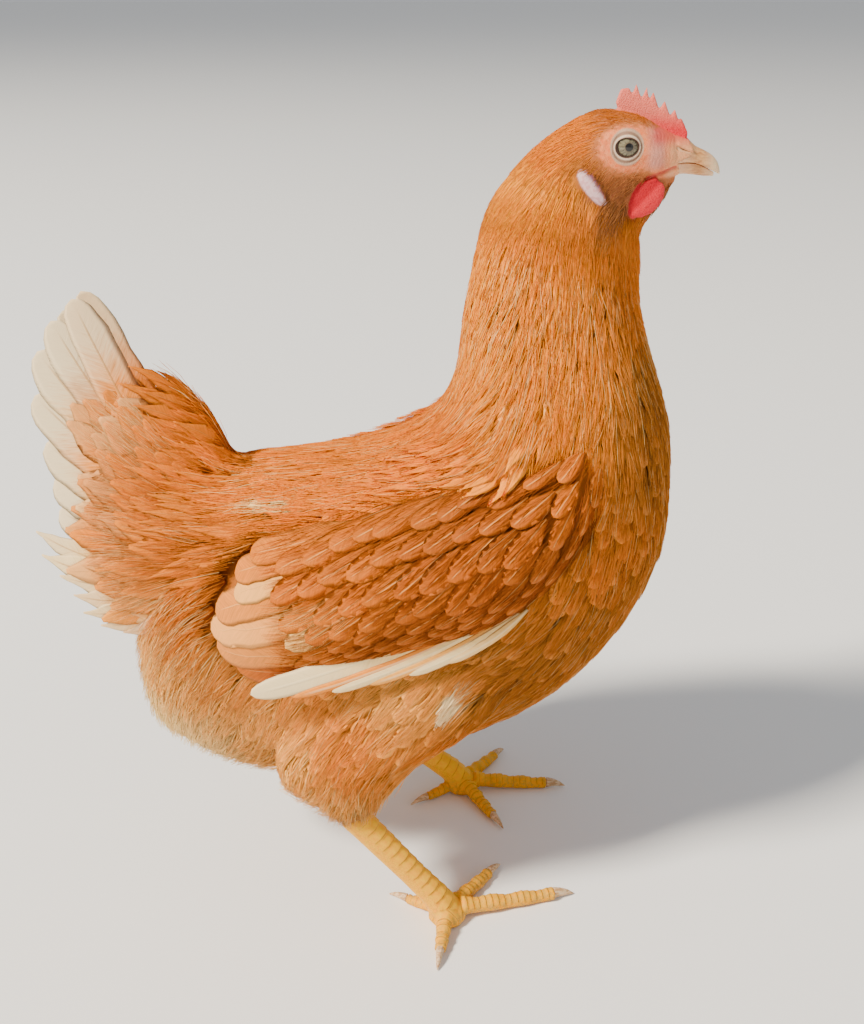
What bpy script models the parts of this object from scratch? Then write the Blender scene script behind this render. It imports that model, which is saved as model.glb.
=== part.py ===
"""A life-size young ginger hen, standing alert with her neck up and her tail fanned.

Blender 4.5. All sizes are in millimetres until place() turns them into metres.
X runs forwards along the body, Y to the hen's left and Z up; the floor is at Z = 0.
The outline is the outside of the plumage. The body is divided where its parts are
named, with a gap of GAP between neighbours.
"""

import math

import bpy
import bmesh
from mathutils import Vector

MM = 0.001
GAP = 0.3  # clearance between neighbouring pieces
EDGE_GAP = 0.5  # the same round a thin-edged blade
SIDES = {"right": -1, "left": 1}  # the sign of Y on each side

# ---------------------------------------------------------------- driving sizes

# The body is lofted through upright slices that fan round the hollow of the back.
# Each slice: back point (x, z), belly or breast point (x, z), half width, and how far
# up from the belly it is widest.
TRUNK_SLICES = [
    ((-153, 146), (-152, 116), 10, 0.50),
    ((-147, 175), (-145, 94), 30, 0.52),
    ((-130, 214), (-125, 78), 44, 0.52),
    ((-106, 239), (-99, 69), 54, 0.54),
    ((-72, 244), (-66, 69), 63, 0.56),
    ((-36, 249), (-24, 78), 69, 0.58),
    ((-12, 257), (24, 92), 71, 0.58),
    ((1, 266), (66, 117), 70, 0.57),
    ((8, 276), (98, 154), 66, 0.55),
    ((12, 288), (117, 196), 59, 0.52),
    ((14, 300), (119, 232), 51, 0.50),
]
NECK_SLICES = [
    ((14, 300), (119, 232), 51, 0.50),
    ((15, 313), (117, 262), 44, 0.50),
    ((18, 331), (106, 296), 35, 0.52),
    ((22, 351), (98, 323), 30, 0.54),
    ((27, 367), (97, 342), 26, 0.55),
    ((35, 380), (95, 355), 23, 0.56),
]
HEAD_SLICES = [
    ((35, 380), (95, 355), 23, 0.56),
    ((45, 391), (98, 359), 20, 0.58),
    ((58, 401), (102, 364), 18, 0.60),
    ((74, 409), (105, 368), 16.5, 0.60),
    ((90, 408), (108, 373.5), 14.5, 0.60),
    ((100, 403.5), (108.5, 377), 12, 0.56),
    ((108, 399.5), (109.5, 380.6), 9.8, 0.46),
]
# 2 is an ellipse and more fills the corners; below 2 the underside narrows to a keel.
TRUNK_FULLNESS = (2.2, 2.2)  # at the first slice, then at the last
NECK_FULLNESS = (2.2, 2.0)
HEAD_FULLNESS = (2.0, 1.5)

# The beak is two half shells that meet along the mouth line, which dips to the tip.
UPPER_BEAK_SLICES = [  # x, ridge z, mouth z, half width
    (108.6, 399.3, 386.9, 9.4),
    (112.4, 398.0, 387.3, 8.3),
    (116.2, 396.6, 387.3, 7.2),
    (119.2, 394.0, 386.8, 6.0),
    (123.0, 392.3, 385.4, 4.9),
    (127.2, 390.0, 383.4, 3.6),
    (130.0, 387.0, 382.0, 2.4),
    (131.3, 383.4, 381.4, 1.2),
]
LOWER_BEAK_SLICES = [  # x, mouth z, chin z, half width
    (110.2, 386.8, 381.0, 8.0),
    (114.0, 387.0, 381.6, 6.8),
    (119.0, 386.6, 381.2, 5.2),
    (124.0, 384.9, 380.6, 3.7),
    (128.4, 382.4, 380.5, 1.9),
]
NOSTRIL_CENTRE = (113.8, 7.6, 392.8)
NOSTRIL_RADII = (3.6, 1.5, 0.8)
NOSTRIL_LEAN = 22  # degrees it slopes down towards the tip

EYE_CENTRE = (86.0, 10.1, 395.0)
EYE_RADIUS = 7.2

COMB_THICKNESS = 3.4
COMB_FOOT = [(111.5, 394.5), (102, 399), (92, 404), (84.5, 407.5)]
COMB_BACK_LOBE = [(82.4, 412.5), (84.2, 418.0), (87.6, 418.6)]
COMB_SPIKES = [  # valley behind the spike, then its tip
    ((89.4, 415.2), (90.9, 420.2)),
    ((93.6, 413.4), (95.6, 418.9)),
    ((97.0, 412.0), (98.6, 416.8)),
    ((101.8, 409.0), (104.0, 412.8)),
    ((106.8, 406.4), (108.8, 409.2)),
    ((110.6, 404.6), (112.0, 405.6)),
]
COMB_NOSE = [(114.6, 400.5), (115.2, 398.6)]

WATTLE_CENTRE = (95.6, 13.0, 372.8)
WATTLE_RADII = (7.6, 2.1, 10.2)
WATTLE_LEAN = 46  # degrees that its long axis leans forwards from upright
EARLOBE_CENTRE = (71.2, 19.0, 378.2)
EARLOBE_RADII = (3.0, 2.4, 8.8)
EARLOBE_LEAN = -40

# The tail is a fan folded along its top edge: two blades that part lower down, like a tent.
TAIL_ROOT = (-92, 214)
TAIL_TOP_ANGLE = 103
TAIL_LOW_ANGLE = 238
TAIL_REACH = [  # angle, length of the fan there
    (103, 44),
    (109, 62),
    (114, 82),
    (118, 112),
    (121, 138),
    (127, 141),
    (134, 137),
    (141, 132),
    (148, 118),
    (155, 108),
    (163, 101),
    (172, 96),
    (182, 101),
    (191, 108),
    (201, 107),
    (211, 104),
    (221, 97),
    (230, 84),
    (238, 56),
]
TAIL_TIPS = 11  # rounded feather ends along the rim
TAIL_TIP_DEPTH = 0.045
TAIL_ROOT_SPREAD = 38  # how far each blade stands from the mid plane, low down
TAIL_RIM_SPREAD = 22
TAIL_ROOT_WALL = 6
TAIL_RIM_WALL = 1.4

# A folded wing is a bowed blade. Each slice: top (x, y, z), foot (x, y, z), bow, thickness.
WING_SLICES = [
    ((77, 52, 256), (77, 53, 240), 1, 5),
    ((72, 50, 264), (70, 57, 220), 7, 12),
    ((56, 51, 263), (52, 65, 200), 11, 14),
    ((28, 53, 252), (24, 71, 184), 12, 15),
    ((-4, 54, 242), (-6, 72, 174), 12, 14),
    ((-36, 54, 234), (-38, 71, 163), 12, 13),
    ((-64, 53, 228), (-70, 67, 156), 11, 11),
    ((-86, 51, 218), (-94, 62, 156), 9, 9),
    ((-101, 51, 196), (-104, 58, 166), 4, 6),
    ((-106, 53, 186), (-107, 55, 174), 1, 3),
]
# The long outer quills show as a pale blade under the wing's lower edge.
QUILL_SLICES = [
    ((46, 70, 192), (46, 70, 188), 0, 2.6),
    ((28, 72, 187), (27, 72, 177), 0.5, 3.4),
    ((0, 73, 179), (-2, 73, 165), 0.8, 3.6),
    ((-34, 73, 169), (-38, 73, 153), 1.0, 3.4),
    ((-64, 72, 158), (-68, 72, 145), 1.0, 3.0),
    ((-82, 71, 153), (-85, 71, 146), 0.4, 2.0),
]

# Legs: the feathered thigh ends at the hock, above a bare scaled shank.
THIGH_SLICES = [  # centre (x, y, z), half length fore and aft, half width
    ((1, 44, 150), 44, 26),
    ((-11, 48, 130), 47, 27),
    ((-28, 52, 114), 44, 24),
    ((-42, 55, 101), 38, 19),
    ((-46, 57, 89), 31, 15),
    ((-45, 58, 79), 20, 11),
    ((-43, 59, 72), 13, 8.8),
    ((-41, 59, 67), 9, 7.6),
]
HOCK = {"right": (-41, 59, 68), "left": (-45, 54, 61)}  # where the plumage ends
SHANK_RADII = [  # share of the way down, half depth fore and aft, half width
    (0.00, 7.9, 6.8),
    (0.12, 7.6, 6.2),
    (0.35, 7.5, 5.6),
    (0.65, 7.1, 5.4),
    (0.88, 7.4, 6.8),
]
FOOT = {"right": (8, 59, 8), "left": (18.7, 56.5, 8)}  # middle of the pad
PAD_RADIUS = 9.0
TOE_START = 8.5  # how far from the pad's middle a toe begins
# Each toe: heading in degrees from straight ahead, positive outwards; length; radius.
TOES = {
    "right": {
        "middle": (-15, 52, 4.6),
        "inner": (-54, 32, 4.2),
        "outer": (98, 18, 4.2),
        "hind": (-150, 16, 3.6),
    },
    "left": {
        "middle": (1, 44, 4.6),
        "inner": (-60, 27, 4.2),
        "outer": (55, 29, 4.2),
        "hind": (-150, 16, 3.6),
    },
}
TOE_KNUCKLES = 3
CLAW_LENGTH = 12
CLAW_DROOP = 2.4
FLOOR_FLAT = 0.0  # soles are levelled here

# ---------------------------------------------------------------- materials

COLOURS = {  # base colour, roughness
    "ginger_plumage": ((0.56, 0.22, 0.06), 0.75),
    "cream_plumage": ((0.80, 0.66, 0.46), 0.80),
    "face_skin": ((0.70, 0.34, 0.24), 0.60),
    "comb_skin": ((0.78, 0.10, 0.10), 0.45),
    "earlobe_skin": ((0.72, 0.62, 0.70), 0.50),
    "leg_scale": ((0.82, 0.50, 0.08), 0.45),
    "horn": ((0.66, 0.50, 0.33), 0.40),
    "eye": ((0.24, 0.22, 0.12), 0.08),
}


def make_material(name):
    colour, roughness = COLOURS[name]
    material = bpy.data.materials.new(name)
    material.use_nodes = True
    shader = material.node_tree.nodes["Principled BSDF"]
    shader.inputs["Base Color"].default_value = (*colour, 1)
    shader.inputs["Roughness"].default_value = roughness
    shader.inputs["Metallic"].default_value = 0
    material.diffuse_color = (*colour, 1)
    return material


# ---------------------------------------------------------------- shape helpers


def smooth_rows(rows, steps):
    """Catmull-Rom rows through the given rows of numbers, with `steps` spans for each pair."""
    padded = [rows[0], *rows, rows[-1]]
    made = []
    for i in range(1, len(padded) - 2):
        before, start, end, after = padded[i - 1 : i + 3]
        for step in range(steps):
            t = step / steps
            made.append(
                [
                    0.5 * (2 * b + (c - a) * t + (2 * a - 5 * b + 4 * c - d) * t * t)
                    + 0.5 * (3 * b - a - 3 * c + d) * t**3
                    for a, b, c, d in zip(before, start, end, after)
                ]
            )
    made.append(list(rows[-1]))
    return made


def flatten(row):
    """One flat list of numbers from nested tuples."""
    flat = []
    for item in row:
        flat += flatten(item) if isinstance(item, tuple) else [item]
    return flat


def power_curve(value, fullness):
    """A cosine or sine raised to a superellipse's power, with its sign kept."""
    return math.copysign(abs(value) ** (2 / fullness), value)


def place(name, mesh_builder, material):
    """A new object from a bmesh drawn in millimetres, scaled to metres, in the hen's collection."""
    bmesh.ops.recalc_face_normals(mesh_builder, faces=mesh_builder.faces)
    bmesh.ops.scale(mesh_builder, vec=(MM, MM, MM), verts=mesh_builder.verts)
    mesh = bpy.data.meshes.new(name)
    mesh_builder.to_mesh(mesh)
    mesh_builder.free()
    mesh.shade_smooth()
    mesh.materials.append(materials[material])
    obj = bpy.data.objects.new(name, mesh)
    hen.objects.link(obj)
    return obj


def loft(name, rings, material):
    """A closed skin through rings of points, with a flat cap on each end."""
    builder = bmesh.new()
    rows = [[builder.verts.new(point) for point in ring] for ring in rings]
    count = len(rings[0])
    for near, far in zip(rows, rows[1:]):
        for i in range(count):
            j = (i + 1) % count
            builder.faces.new((near[i], near[j], far[j], far[i]))
    builder.faces.new(rows[0])
    builder.faces.new(rows[-1])
    return place(name, builder, material)


def body_ring(slice_row, keel, sides, shift=0.0):
    """One slice of the body as a ring; keel shapes its underside and shift moves it forwards."""
    back_x, back_z, front_x, front_z, half_width, level = slice_row
    back = Vector((back_x, 0, back_z))
    front = Vector((front_x, 0, front_z))
    middle = front.lerp(back, level)
    normal = Vector((0, 1, 0)).cross(back - front).normalized()
    ring = []
    for i in range(sides):
        angle = 2 * math.pi * i / sides
        fullness = 2.2 if math.cos(angle) > 0 else keel
        rise = power_curve(math.cos(angle), fullness)
        side = power_curve(math.sin(angle), fullness)
        reach = (back - middle) * rise if rise > 0 else (middle - front) * rise
        ring.append(middle + reach + Vector((0, side * half_width, 0)) + normal * shift)
    return ring


def body_loft(name, slices, fullness, material, start_gap=0.0, end_gap=0.0, sides=20):
    rows = smooth_rows([flatten(row) for row in slices], 2)
    last = len(rows) - 1
    rings = []
    for i, row in enumerate(rows):
        keel = fullness[0] + (fullness[1] - fullness[0]) * i / last
        shift = {0: start_gap, last: end_gap}.get(i, 0.0)
        rings.append(body_ring(row, keel, sides, shift))
    return loft(name, rings, material)


def ellipsoid(name, centre, radii, material, lean=0.0, size=7):
    """An ellipsoid whose upright axis leans forwards by `lean` degrees."""
    builder = bmesh.new()
    bmesh.ops.create_uvsphere(
        builder, u_segments=2 * size, v_segments=size, radius=1
    )
    bmesh.ops.scale(builder, vec=radii, verts=builder.verts)
    turn = Vector((1, 0, 0)).rotation_difference(
        Vector((math.cos(math.radians(lean)), 0, -math.sin(math.radians(lean))))
    )
    bmesh.ops.rotate(builder, cent=(0, 0, 0), matrix=turn.to_matrix(), verts=builder.verts)
    bmesh.ops.translate(builder, vec=centre, verts=builder.verts)
    return place(name, builder, material)


def carve(target, cutters, clearance=GAP):
    """Cuts each cutter, swollen by the clearance, out of the target, for good."""
    for cutter in cutters:
        swollen = cutter.copy()
        swollen.data = cutter.data.copy()
        for vertex in swollen.data.vertices:
            vertex.co += vertex.normal * clearance * MM
        tools.objects.link(swollen)
        cut = target.modifiers.new("cut", "BOOLEAN")
        cut.operation = "DIFFERENCE"
        cut.object = swollen
        bpy.context.view_layer.update()
        graph = bpy.context.evaluated_depsgraph_get()
        result = bpy.data.meshes.new_from_object(target.evaluated_get(graph))
        target.modifiers.clear()
        target.data = result
        bpy.data.objects.remove(swollen)


# ---------------------------------------------------------------- trunk, neck, head


def build_body():
    half = GAP / 2
    trunk = body_loft(
        "trunk", TRUNK_SLICES, TRUNK_FULLNESS, "ginger_plumage", end_gap=-half
    )
    neck = body_loft("neck", NECK_SLICES, NECK_FULLNESS, "ginger_plumage", half, -half)
    head = body_loft("head", HEAD_SLICES, HEAD_FULLNESS, "face_skin", half, sides=22)
    return trunk, neck, head


# ---------------------------------------------------------------- head furnishings


def beak_shell(name, slices, steps=2, arc=8):
    """A half shell: a rounded outside over a flat mouth face."""
    rings = []
    for row in smooth_rows([flatten(row) for row in slices], steps):
        x, top, bottom, half_width = row
        outer, inner = (bottom, top) if name == "beak_lower" else (top, bottom)
        ring = []
        for i in range(arc + 1):
            angle = math.pi * i / arc
            side = half_width * power_curve(math.cos(angle), 2.3)
            ring.append((x, side, inner + (outer - inner) * math.sin(angle) ** 0.85))
        rings.append(ring)
    return loft(name, rings, "horn")


def build_beak():
    upper = beak_shell("beak_upper", UPPER_BEAK_SLICES)
    lower = beak_shell("beak_lower", LOWER_BEAK_SLICES)
    carve(lower, [upper])
    x, y, z = NOSTRIL_CENTRE
    for sign in SIDES.values():
        hole = ellipsoid("nostril", (x, sign * y, z), NOSTRIL_RADII, "horn", NOSTRIL_LEAN, 6)
        carve(upper, [hole], 0)
        bpy.data.objects.remove(hole)
    return upper, lower


def build_comb():
    """A flat blade with a rounded back lobe and a row of spikes, thickest at its foot."""
    outline = [*COMB_FOOT, *COMB_BACK_LOBE]
    for valley, tip in COMB_SPIKES:
        outline += [valley, tip]
    outline += COMB_NOSE
    builder = bmesh.new()
    sheet = [builder.verts.new((x, 0, z)) for x, z in outline]
    face = builder.faces.new(sheet)
    made = bmesh.ops.extrude_face_region(builder, geom=[face])
    raised = [v for v in made["geom"] if isinstance(v, bmesh.types.BMVert)]
    bmesh.ops.translate(builder, vec=(0, COMB_THICKNESS, 0), verts=raised)
    bmesh.ops.translate(builder, vec=(0, -COMB_THICKNESS / 2, 0), verts=builder.verts)
    foot_z = COMB_FOOT[0][1]
    top_z = max(z for _, z in outline)
    for vertex in builder.verts:
        height = (vertex.co.z - foot_z) / (top_z - foot_z)
        vertex.co.y *= 1.15 - 0.6 * height
    return place("comb", builder, "comb_skin")


def build_face(side):
    sign = SIDES[side]
    x, y, z = EYE_CENTRE
    eye = ellipsoid(f"eye_{side}", (x, sign * y, z), (EYE_RADIUS,) * 3, "eye")
    x, y, z = WATTLE_CENTRE
    wattle = ellipsoid(f"wattle_{side}", (x, sign * y, z), WATTLE_RADII, "comb_skin", WATTLE_LEAN, 7)
    x, y, z = EARLOBE_CENTRE
    earlobe = ellipsoid(
        f"earlobe_{side}", (x, sign * y, z), EARLOBE_RADII, "earlobe_skin", EARLOBE_LEAN, 6
    )
    return eye, wattle, earlobe


# ---------------------------------------------------------------- tail


def tail_reach(angle):
    """The fan's length at an angle, with rounded feather ends."""
    for (low, short), (high, long) in zip(TAIL_REACH, TAIL_REACH[1:]):
        if angle <= high:
            t = (angle - low) / (high - low)
            length = short + (long - short) * t * t * (3 - 2 * t)
            break
    share = (angle - TAIL_TOP_ANGLE) / (TAIL_LOW_ANGLE - TAIL_TOP_ANGLE)
    tip = abs(math.sin(math.pi * TAIL_TIPS * share))
    return length * (1 - TAIL_TIP_DEPTH + TAIL_TIP_DEPTH * tip**0.5)


def build_tail(side, rays=3 * TAIL_TIPS, spans=3):
    """One blade of the tent: an outer and an inner face, closed round the edge."""
    builder = bmesh.new()
    outer, inner = [], []
    for i in range(rays + 1):
        share = i / rays
        angle = TAIL_TOP_ANGLE + (TAIL_LOW_ANGLE - TAIL_TOP_ANGLE) * share
        reach = tail_reach(angle)
        tent = math.sin(math.pi / 2 * min(1, share * 1.4)) ** 1.3
        outer.append([])
        inner.append([])
        for j in range(spans + 1):
            out = j / spans
            x = TAIL_ROOT[0] + math.cos(math.radians(angle)) * reach * (0.15 + 0.85 * out)
            z = TAIL_ROOT[1] + math.sin(math.radians(angle)) * reach * (0.15 + 0.85 * out)
            wall = TAIL_ROOT_WALL + (TAIL_RIM_WALL - TAIL_ROOT_WALL) * out**0.8
            near = TAIL_ROOT_SPREAD + (TAIL_RIM_SPREAD - TAIL_ROOT_SPREAD) * out
            near = GAP / 2 + near * tent
            outer[-1].append(builder.verts.new((x, SIDES[side] * (near + wall), z)))
            inner[-1].append(builder.verts.new((x, SIDES[side] * near, z)))
    for face in (outer, inner):
        for near, far in zip(face, face[1:]):
            for j in range(spans):
                builder.faces.new((near[j], near[j + 1], far[j + 1], far[j]))
    for i in range(rays):
        for j in (0, spans):
            builder.faces.new((outer[i][j], inner[i][j], inner[i + 1][j], outer[i + 1][j]))
    for j in range(spans):
        for i in (0, rays):
            builder.faces.new((outer[i][j], inner[i][j], inner[i][j + 1], outer[i][j + 1]))
    return place(f"tail_{side}", builder, "cream_plumage")


# ---------------------------------------------------------------- wings


def blade_ring(slice_row, sign, spans):
    """A bowed, tapering cross-section: the outer face from foot to top, then the inner back."""
    tx, ty, tz, fx, fy, fz, bow, thickness = slice_row
    top = Vector((tx, sign * ty, tz))
    foot = Vector((fx, sign * fy, fz))
    outer, inner = [], []
    for i in range(spans + 1):
        share = i / spans
        swell = 4 * share * (1 - share)
        spine = foot.lerp(top, share) + Vector((0, sign * bow * swell, 0))
        half = Vector((0, sign * (0.7 + 0.5 * thickness * math.sqrt(swell)), 0))
        outer.append(spine + half)
        inner.append(spine - half)
    return outer + inner[::-1]


def blade(name, slices, sign, material, spans, steps):
    rows = smooth_rows([flatten(row) for row in slices], steps)
    return loft(name, [blade_ring(row, sign, spans) for row in rows], material)


def build_wing(side):
    wing = blade(f"wing_{side}", WING_SLICES, SIDES[side], "ginger_plumage", 4, 2)
    quills = blade(f"wing_quills_{side}", QUILL_SLICES, SIDES[side], "cream_plumage", 3, 1)
    return wing, quills


# ---------------------------------------------------------------- legs


def round_ring(centre, along, half_depth, half_width, sides=14, floor=None):
    """An oval ring square to `along`; points below the floor are lifted to it, as a flat sole."""
    along = along.normalized()
    across = Vector((0, 0, 1)).cross(along)
    across = across.normalized() if across.length > 0.01 else Vector((0, 1, 0))
    upward = along.cross(across)
    ring = []
    for i in range(sides):
        angle = 2 * math.pi * (i + 0.5) / sides
        point = centre + across * half_width * math.sin(angle)
        point = point + upward * half_depth * math.cos(angle)
        if floor is not None:
            point.z = max(point.z, floor)
        ring.append(point)
    return ring


def build_thigh(side):
    """An oval loft whose lower slices follow the hock."""
    shift = Vector(HOCK[side]) - Vector(HOCK["right"])
    rows = smooth_rows([flatten(row) for row in THIGH_SLICES], 2)
    rings = []
    for i, (x, y, z, half_depth, half_width) in enumerate(rows):
        centre = Vector((x, y, z)) + shift * i / (len(rows) - 1)
        ring = []
        for j in range(12):
            angle = 2 * math.pi * j / 12
            across = centre.y + half_width * math.sin(angle)
            ring.append((centre.x + half_depth * math.cos(angle), SIDES[side] * across, centre.z))
        rings.append(ring)
    return loft(f"thigh_{side}", rings, "ginger_plumage")


def build_shank(side, sides=10):
    """The bare scaled leg, running into a pad that ends flat on the floor."""
    sign = SIDES[side]
    hock = Vector((HOCK[side][0], sign * HOCK[side][1], HOCK[side][2]))
    foot = Vector((FOOT[side][0], sign * FOOT[side][1], FOOT[side][2]))
    down = foot - hock
    rings = []
    for share, half_depth, half_width in smooth_rows(SHANK_RADII, 2):
        rings.append(round_ring(hock + down * share, down, half_depth, half_width, sides))
    along = Vector((down.x, down.y, 0)).normalized()
    across = Vector((0, 0, 1)).cross(along)
    for height, grow in ((0.75, 1.05), (0.3, 1.15), (0.0, 0.95)):
        ring = []
        for i in range(sides):
            angle = 2 * math.pi * (i + 0.5) / sides
            reach = along * math.cos(angle) + across * math.sin(angle)
            middle = Vector((foot.x, foot.y, foot.z * height))
            ring.append(middle + reach * PAD_RADIUS * grow)
        rings.append(ring)
    return loft(f"shank_{side}", rings, "leg_scale")


def build_toe(side, toe):
    """A knuckled toe and its claw, both with their undersides level with the floor."""
    sign = SIDES[side]
    heading, length, radius = TOES[side][toe]
    turn = math.radians(heading)
    forward = Vector((math.cos(turn), sign * math.sin(turn), 0))
    pad = Vector((FOOT[side][0], sign * FOOT[side][1], 0))
    rings = []
    spans = TOE_KNUCKLES * 2
    for i in range(spans + 1):
        share = i / spans
        knuckle = 1 + 0.10 * math.cos(2 * math.pi * share * TOE_KNUCKLES)
        size = radius * (1 - 0.28 * share) * knuckle
        height = size * 0.86 + (radius * 0.5) * (1 - share) ** 2
        centre = pad + forward * (TOE_START + length * share) + Vector((0, 0, height))
        rings.append(round_ring(centre, forward, size, size, 8, FLOOR_FLAT))
    toe_solid = loft(f"toe_{toe}_{side}", rings, "leg_scale")

    tip_radius = radius * 0.62
    start = pad + forward * (TOE_START + length + GAP)
    claw_rings = []
    for i in range(5):
        share = i / 4
        size = tip_radius * (1 - share) ** 0.7 + 0.35
        height = max(radius * 0.72 * (1 - share) ** 0.6 + CLAW_DROOP * share * (1 - share), 0.4)
        centre = start + forward * CLAW_LENGTH * share + Vector((0, 0, height))
        claw_rings.append(round_ring(centre, forward, size * 1.1, size * 0.8, 6, FLOOR_FLAT))
    claw = loft(f"claw_{toe}_{side}", claw_rings, "horn")
    return toe_solid, claw


# ---------------------------------------------------------------- assembly


def centre_on_floor(objects):
    """Puts the middle of the hen's box over the origin and her soles at Z = 0."""
    corners = [obj.matrix_world @ v.co for obj in objects for v in obj.data.vertices]
    low_x, high_x = min(c.x for c in corners), max(c.x for c in corners)
    low_z = min(c.z for c in corners)
    shift = Vector((-(low_x + high_x) / 2, 0, -low_z))
    for obj in objects:
        for vertex in obj.data.vertices:
            vertex.co += shift
    print(f"moved by {shift.x / MM:.2f}, {shift.z / MM:.2f} mm")


def build_hen():
    trunk, neck, head = build_body()
    upper, lower = build_beak()
    comb = build_comb()
    carve(head, [upper, lower])
    carve(comb, [head, upper])
    for side in SIDES:
        eye, wattle, earlobe = build_face(side)
        carve(head, [eye])
        carve(wattle, [head, lower])
        carve(earlobe, [head])
        wing, quills = build_wing(side)
        thigh = build_thigh(side)
        shank = build_shank(side)
        tail = build_tail(side)
        for neighbour in (quills, thigh, trunk, neck, tail):
            carve(neighbour, [wing], EDGE_GAP)
        for neighbour in (thigh, trunk):
            carve(neighbour, [quills], EDGE_GAP)
        carve(thigh, [shank])
        carve(trunk, [thigh])
        carve(tail, [trunk])
        made = [shank]
        for toe in TOES[side]:
            toe_solid, _ = build_toe(side, toe)
            carve(toe_solid, made)
            made.append(toe_solid)
    centre_on_floor(list(hen.objects))


for old in list(bpy.data.objects):
    bpy.data.objects.remove(old)
hen = bpy.data.collections.new("hen")
tools = bpy.data.collections.new("cutters")
for collection in (hen, tools):
    bpy.context.scene.collection.children.link(collection)
tools.hide_render = True
materials = {name: make_material(name) for name in COLOURS}
build_hen()
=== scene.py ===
"""A life-size ginger hen, dressed in skin, horn and feathers over her solid frame.

The cells below go from bare skin outwards: light and camera, tools, one skin for the whole
body, eyes, bill and claws, and then the plumage, laid feather by feather.
"""
# %% [markdown]
# The frame is the hen as plain solids: trunk, neck, head, wings, tail and legs, all in metres.
# It says where everything goes, so it is loaded first and never moved. The finished plumage has
# to stay inside it apart from a few millimetres of fluff.
# %% Load the frame
import math

import bpy
import numpy as np
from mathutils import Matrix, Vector
from mathutils.bvhtree import BVHTree
from mathutils.kdtree import KDTree


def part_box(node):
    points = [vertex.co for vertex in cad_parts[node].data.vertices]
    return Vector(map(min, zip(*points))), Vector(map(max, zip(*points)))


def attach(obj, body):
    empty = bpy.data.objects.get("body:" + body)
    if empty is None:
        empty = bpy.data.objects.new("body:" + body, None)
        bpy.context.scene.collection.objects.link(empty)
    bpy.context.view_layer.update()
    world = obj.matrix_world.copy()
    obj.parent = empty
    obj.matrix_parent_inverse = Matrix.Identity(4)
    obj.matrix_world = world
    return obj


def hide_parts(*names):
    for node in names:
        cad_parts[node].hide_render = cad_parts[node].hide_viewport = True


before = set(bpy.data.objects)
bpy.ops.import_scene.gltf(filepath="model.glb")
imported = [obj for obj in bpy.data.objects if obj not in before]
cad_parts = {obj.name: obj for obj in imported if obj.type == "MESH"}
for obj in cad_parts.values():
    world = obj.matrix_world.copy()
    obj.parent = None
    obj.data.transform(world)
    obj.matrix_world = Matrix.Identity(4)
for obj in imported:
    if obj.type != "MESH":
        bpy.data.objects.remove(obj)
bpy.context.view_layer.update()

MM = 0.001

# %% [markdown]
# Sizes below are in millimetres in the hen's own measure: X forwards from a point on her back,
# Y to her left, Z up from the floor. The eye is at X = 86 in that measure, so the frame's eye
# tells how far the frame's zero is from it.
# %% The hen's own measure
EYE_AT = 86.0
eye_low, eye_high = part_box("eye_right")
MIDDLE = (eye_low.x + eye_high.x) / 2 / MM - EYE_AT
SIDES = {"right": -1, "left": 1}
rng = np.random.default_rng(7)


def place(x, y, z):
    """A point in metres in the frame, from the hen's own millimetres."""
    return Vector(((x + MIDDLE) * MM, y * MM, z * MM))


def own_measure(points):
    """The hen's own millimetres for an array of points in metres."""
    return np.asarray(points) / MM - np.array([MIDDLE, 0, 0])


print("frame zero is", round(MIDDLE, 2), "mm from the hen's own")

# %% [markdown]
# A few small tools. Operators act on whatever is selected, so everything is let go before each
# new piece; a finished mesh goes between Blender and numpy as plain arrays.
# %% Mesh tools


def switch_to(mode):
    bpy.ops.object.mode_set(mode=mode)


def select_only(*objects):
    bpy.ops.object.select_all(action="DESELECT")
    for obj in objects:
        obj.select_set(True)
    bpy.context.view_layer.objects.active = objects[0]


def apply_modifier(obj, kind, **settings):
    """Adds a modifier with these settings and applies it at once."""
    select_only(obj)
    modifier = obj.modifiers.new(kind.lower(), kind)
    for name, value in settings.items():
        setattr(modifier, name, value)
    bpy.ops.object.modifier_apply(modifier=modifier.name)
    return obj


def melt(obj, voxel, rounds):
    """Remeshes a piece with voxels of so many millimetres, which joins what overlaps, and then
    smooths it in so many rounds."""
    apply_modifier(obj, "REMESH", mode="VOXEL", voxel_size=voxel * MM)
    return apply_modifier(obj, "SMOOTH", factor=0.5, iterations=rounds)


def copy_nodes(name, nodes, swell=0.0):
    """One new object from copies of CAD nodes, each swollen a little so that they overlap."""
    copies = []
    for node in nodes:
        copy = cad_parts[node].copy()
        copy.data = copy.data.copy()
        copy.parent = None
        copy.hide_viewport = copy.hide_render = False
        bpy.context.scene.collection.objects.link(copy)
        select_only(copy)
        switch_to("EDIT")
        bpy.ops.mesh.select_all(action="SELECT")
        bpy.ops.mesh.remove_doubles(threshold=1e-5)
        bpy.ops.transform.shrink_fatten(value=swell * MM)
        switch_to("OBJECT")
        copies.append(copy)
    select_only(*copies)
    if len(copies) > 1:
        bpy.ops.object.join()
    joined = bpy.context.view_layer.objects.active
    for key in list(joined.keys()):
        del joined[key]
    joined.name = joined.data.name = name
    joined.data.materials.clear()
    return joined


def vertex_array(mesh):
    points = np.empty(len(mesh.vertices) * 3, np.float32)
    mesh.vertices.foreach_get("co", points)
    return points.reshape(-1, 3).astype(float)


def normal_array(mesh):
    normals = np.empty(len(mesh.vertices) * 3, np.float32)
    mesh.vertex_normals.foreach_get("vector", normals)
    return normals.reshape(-1, 3).astype(float)


def set_vertices(mesh, points):
    mesh.vertices.foreach_set("co", np.asarray(points, np.float32).ravel())
    mesh.update()


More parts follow.
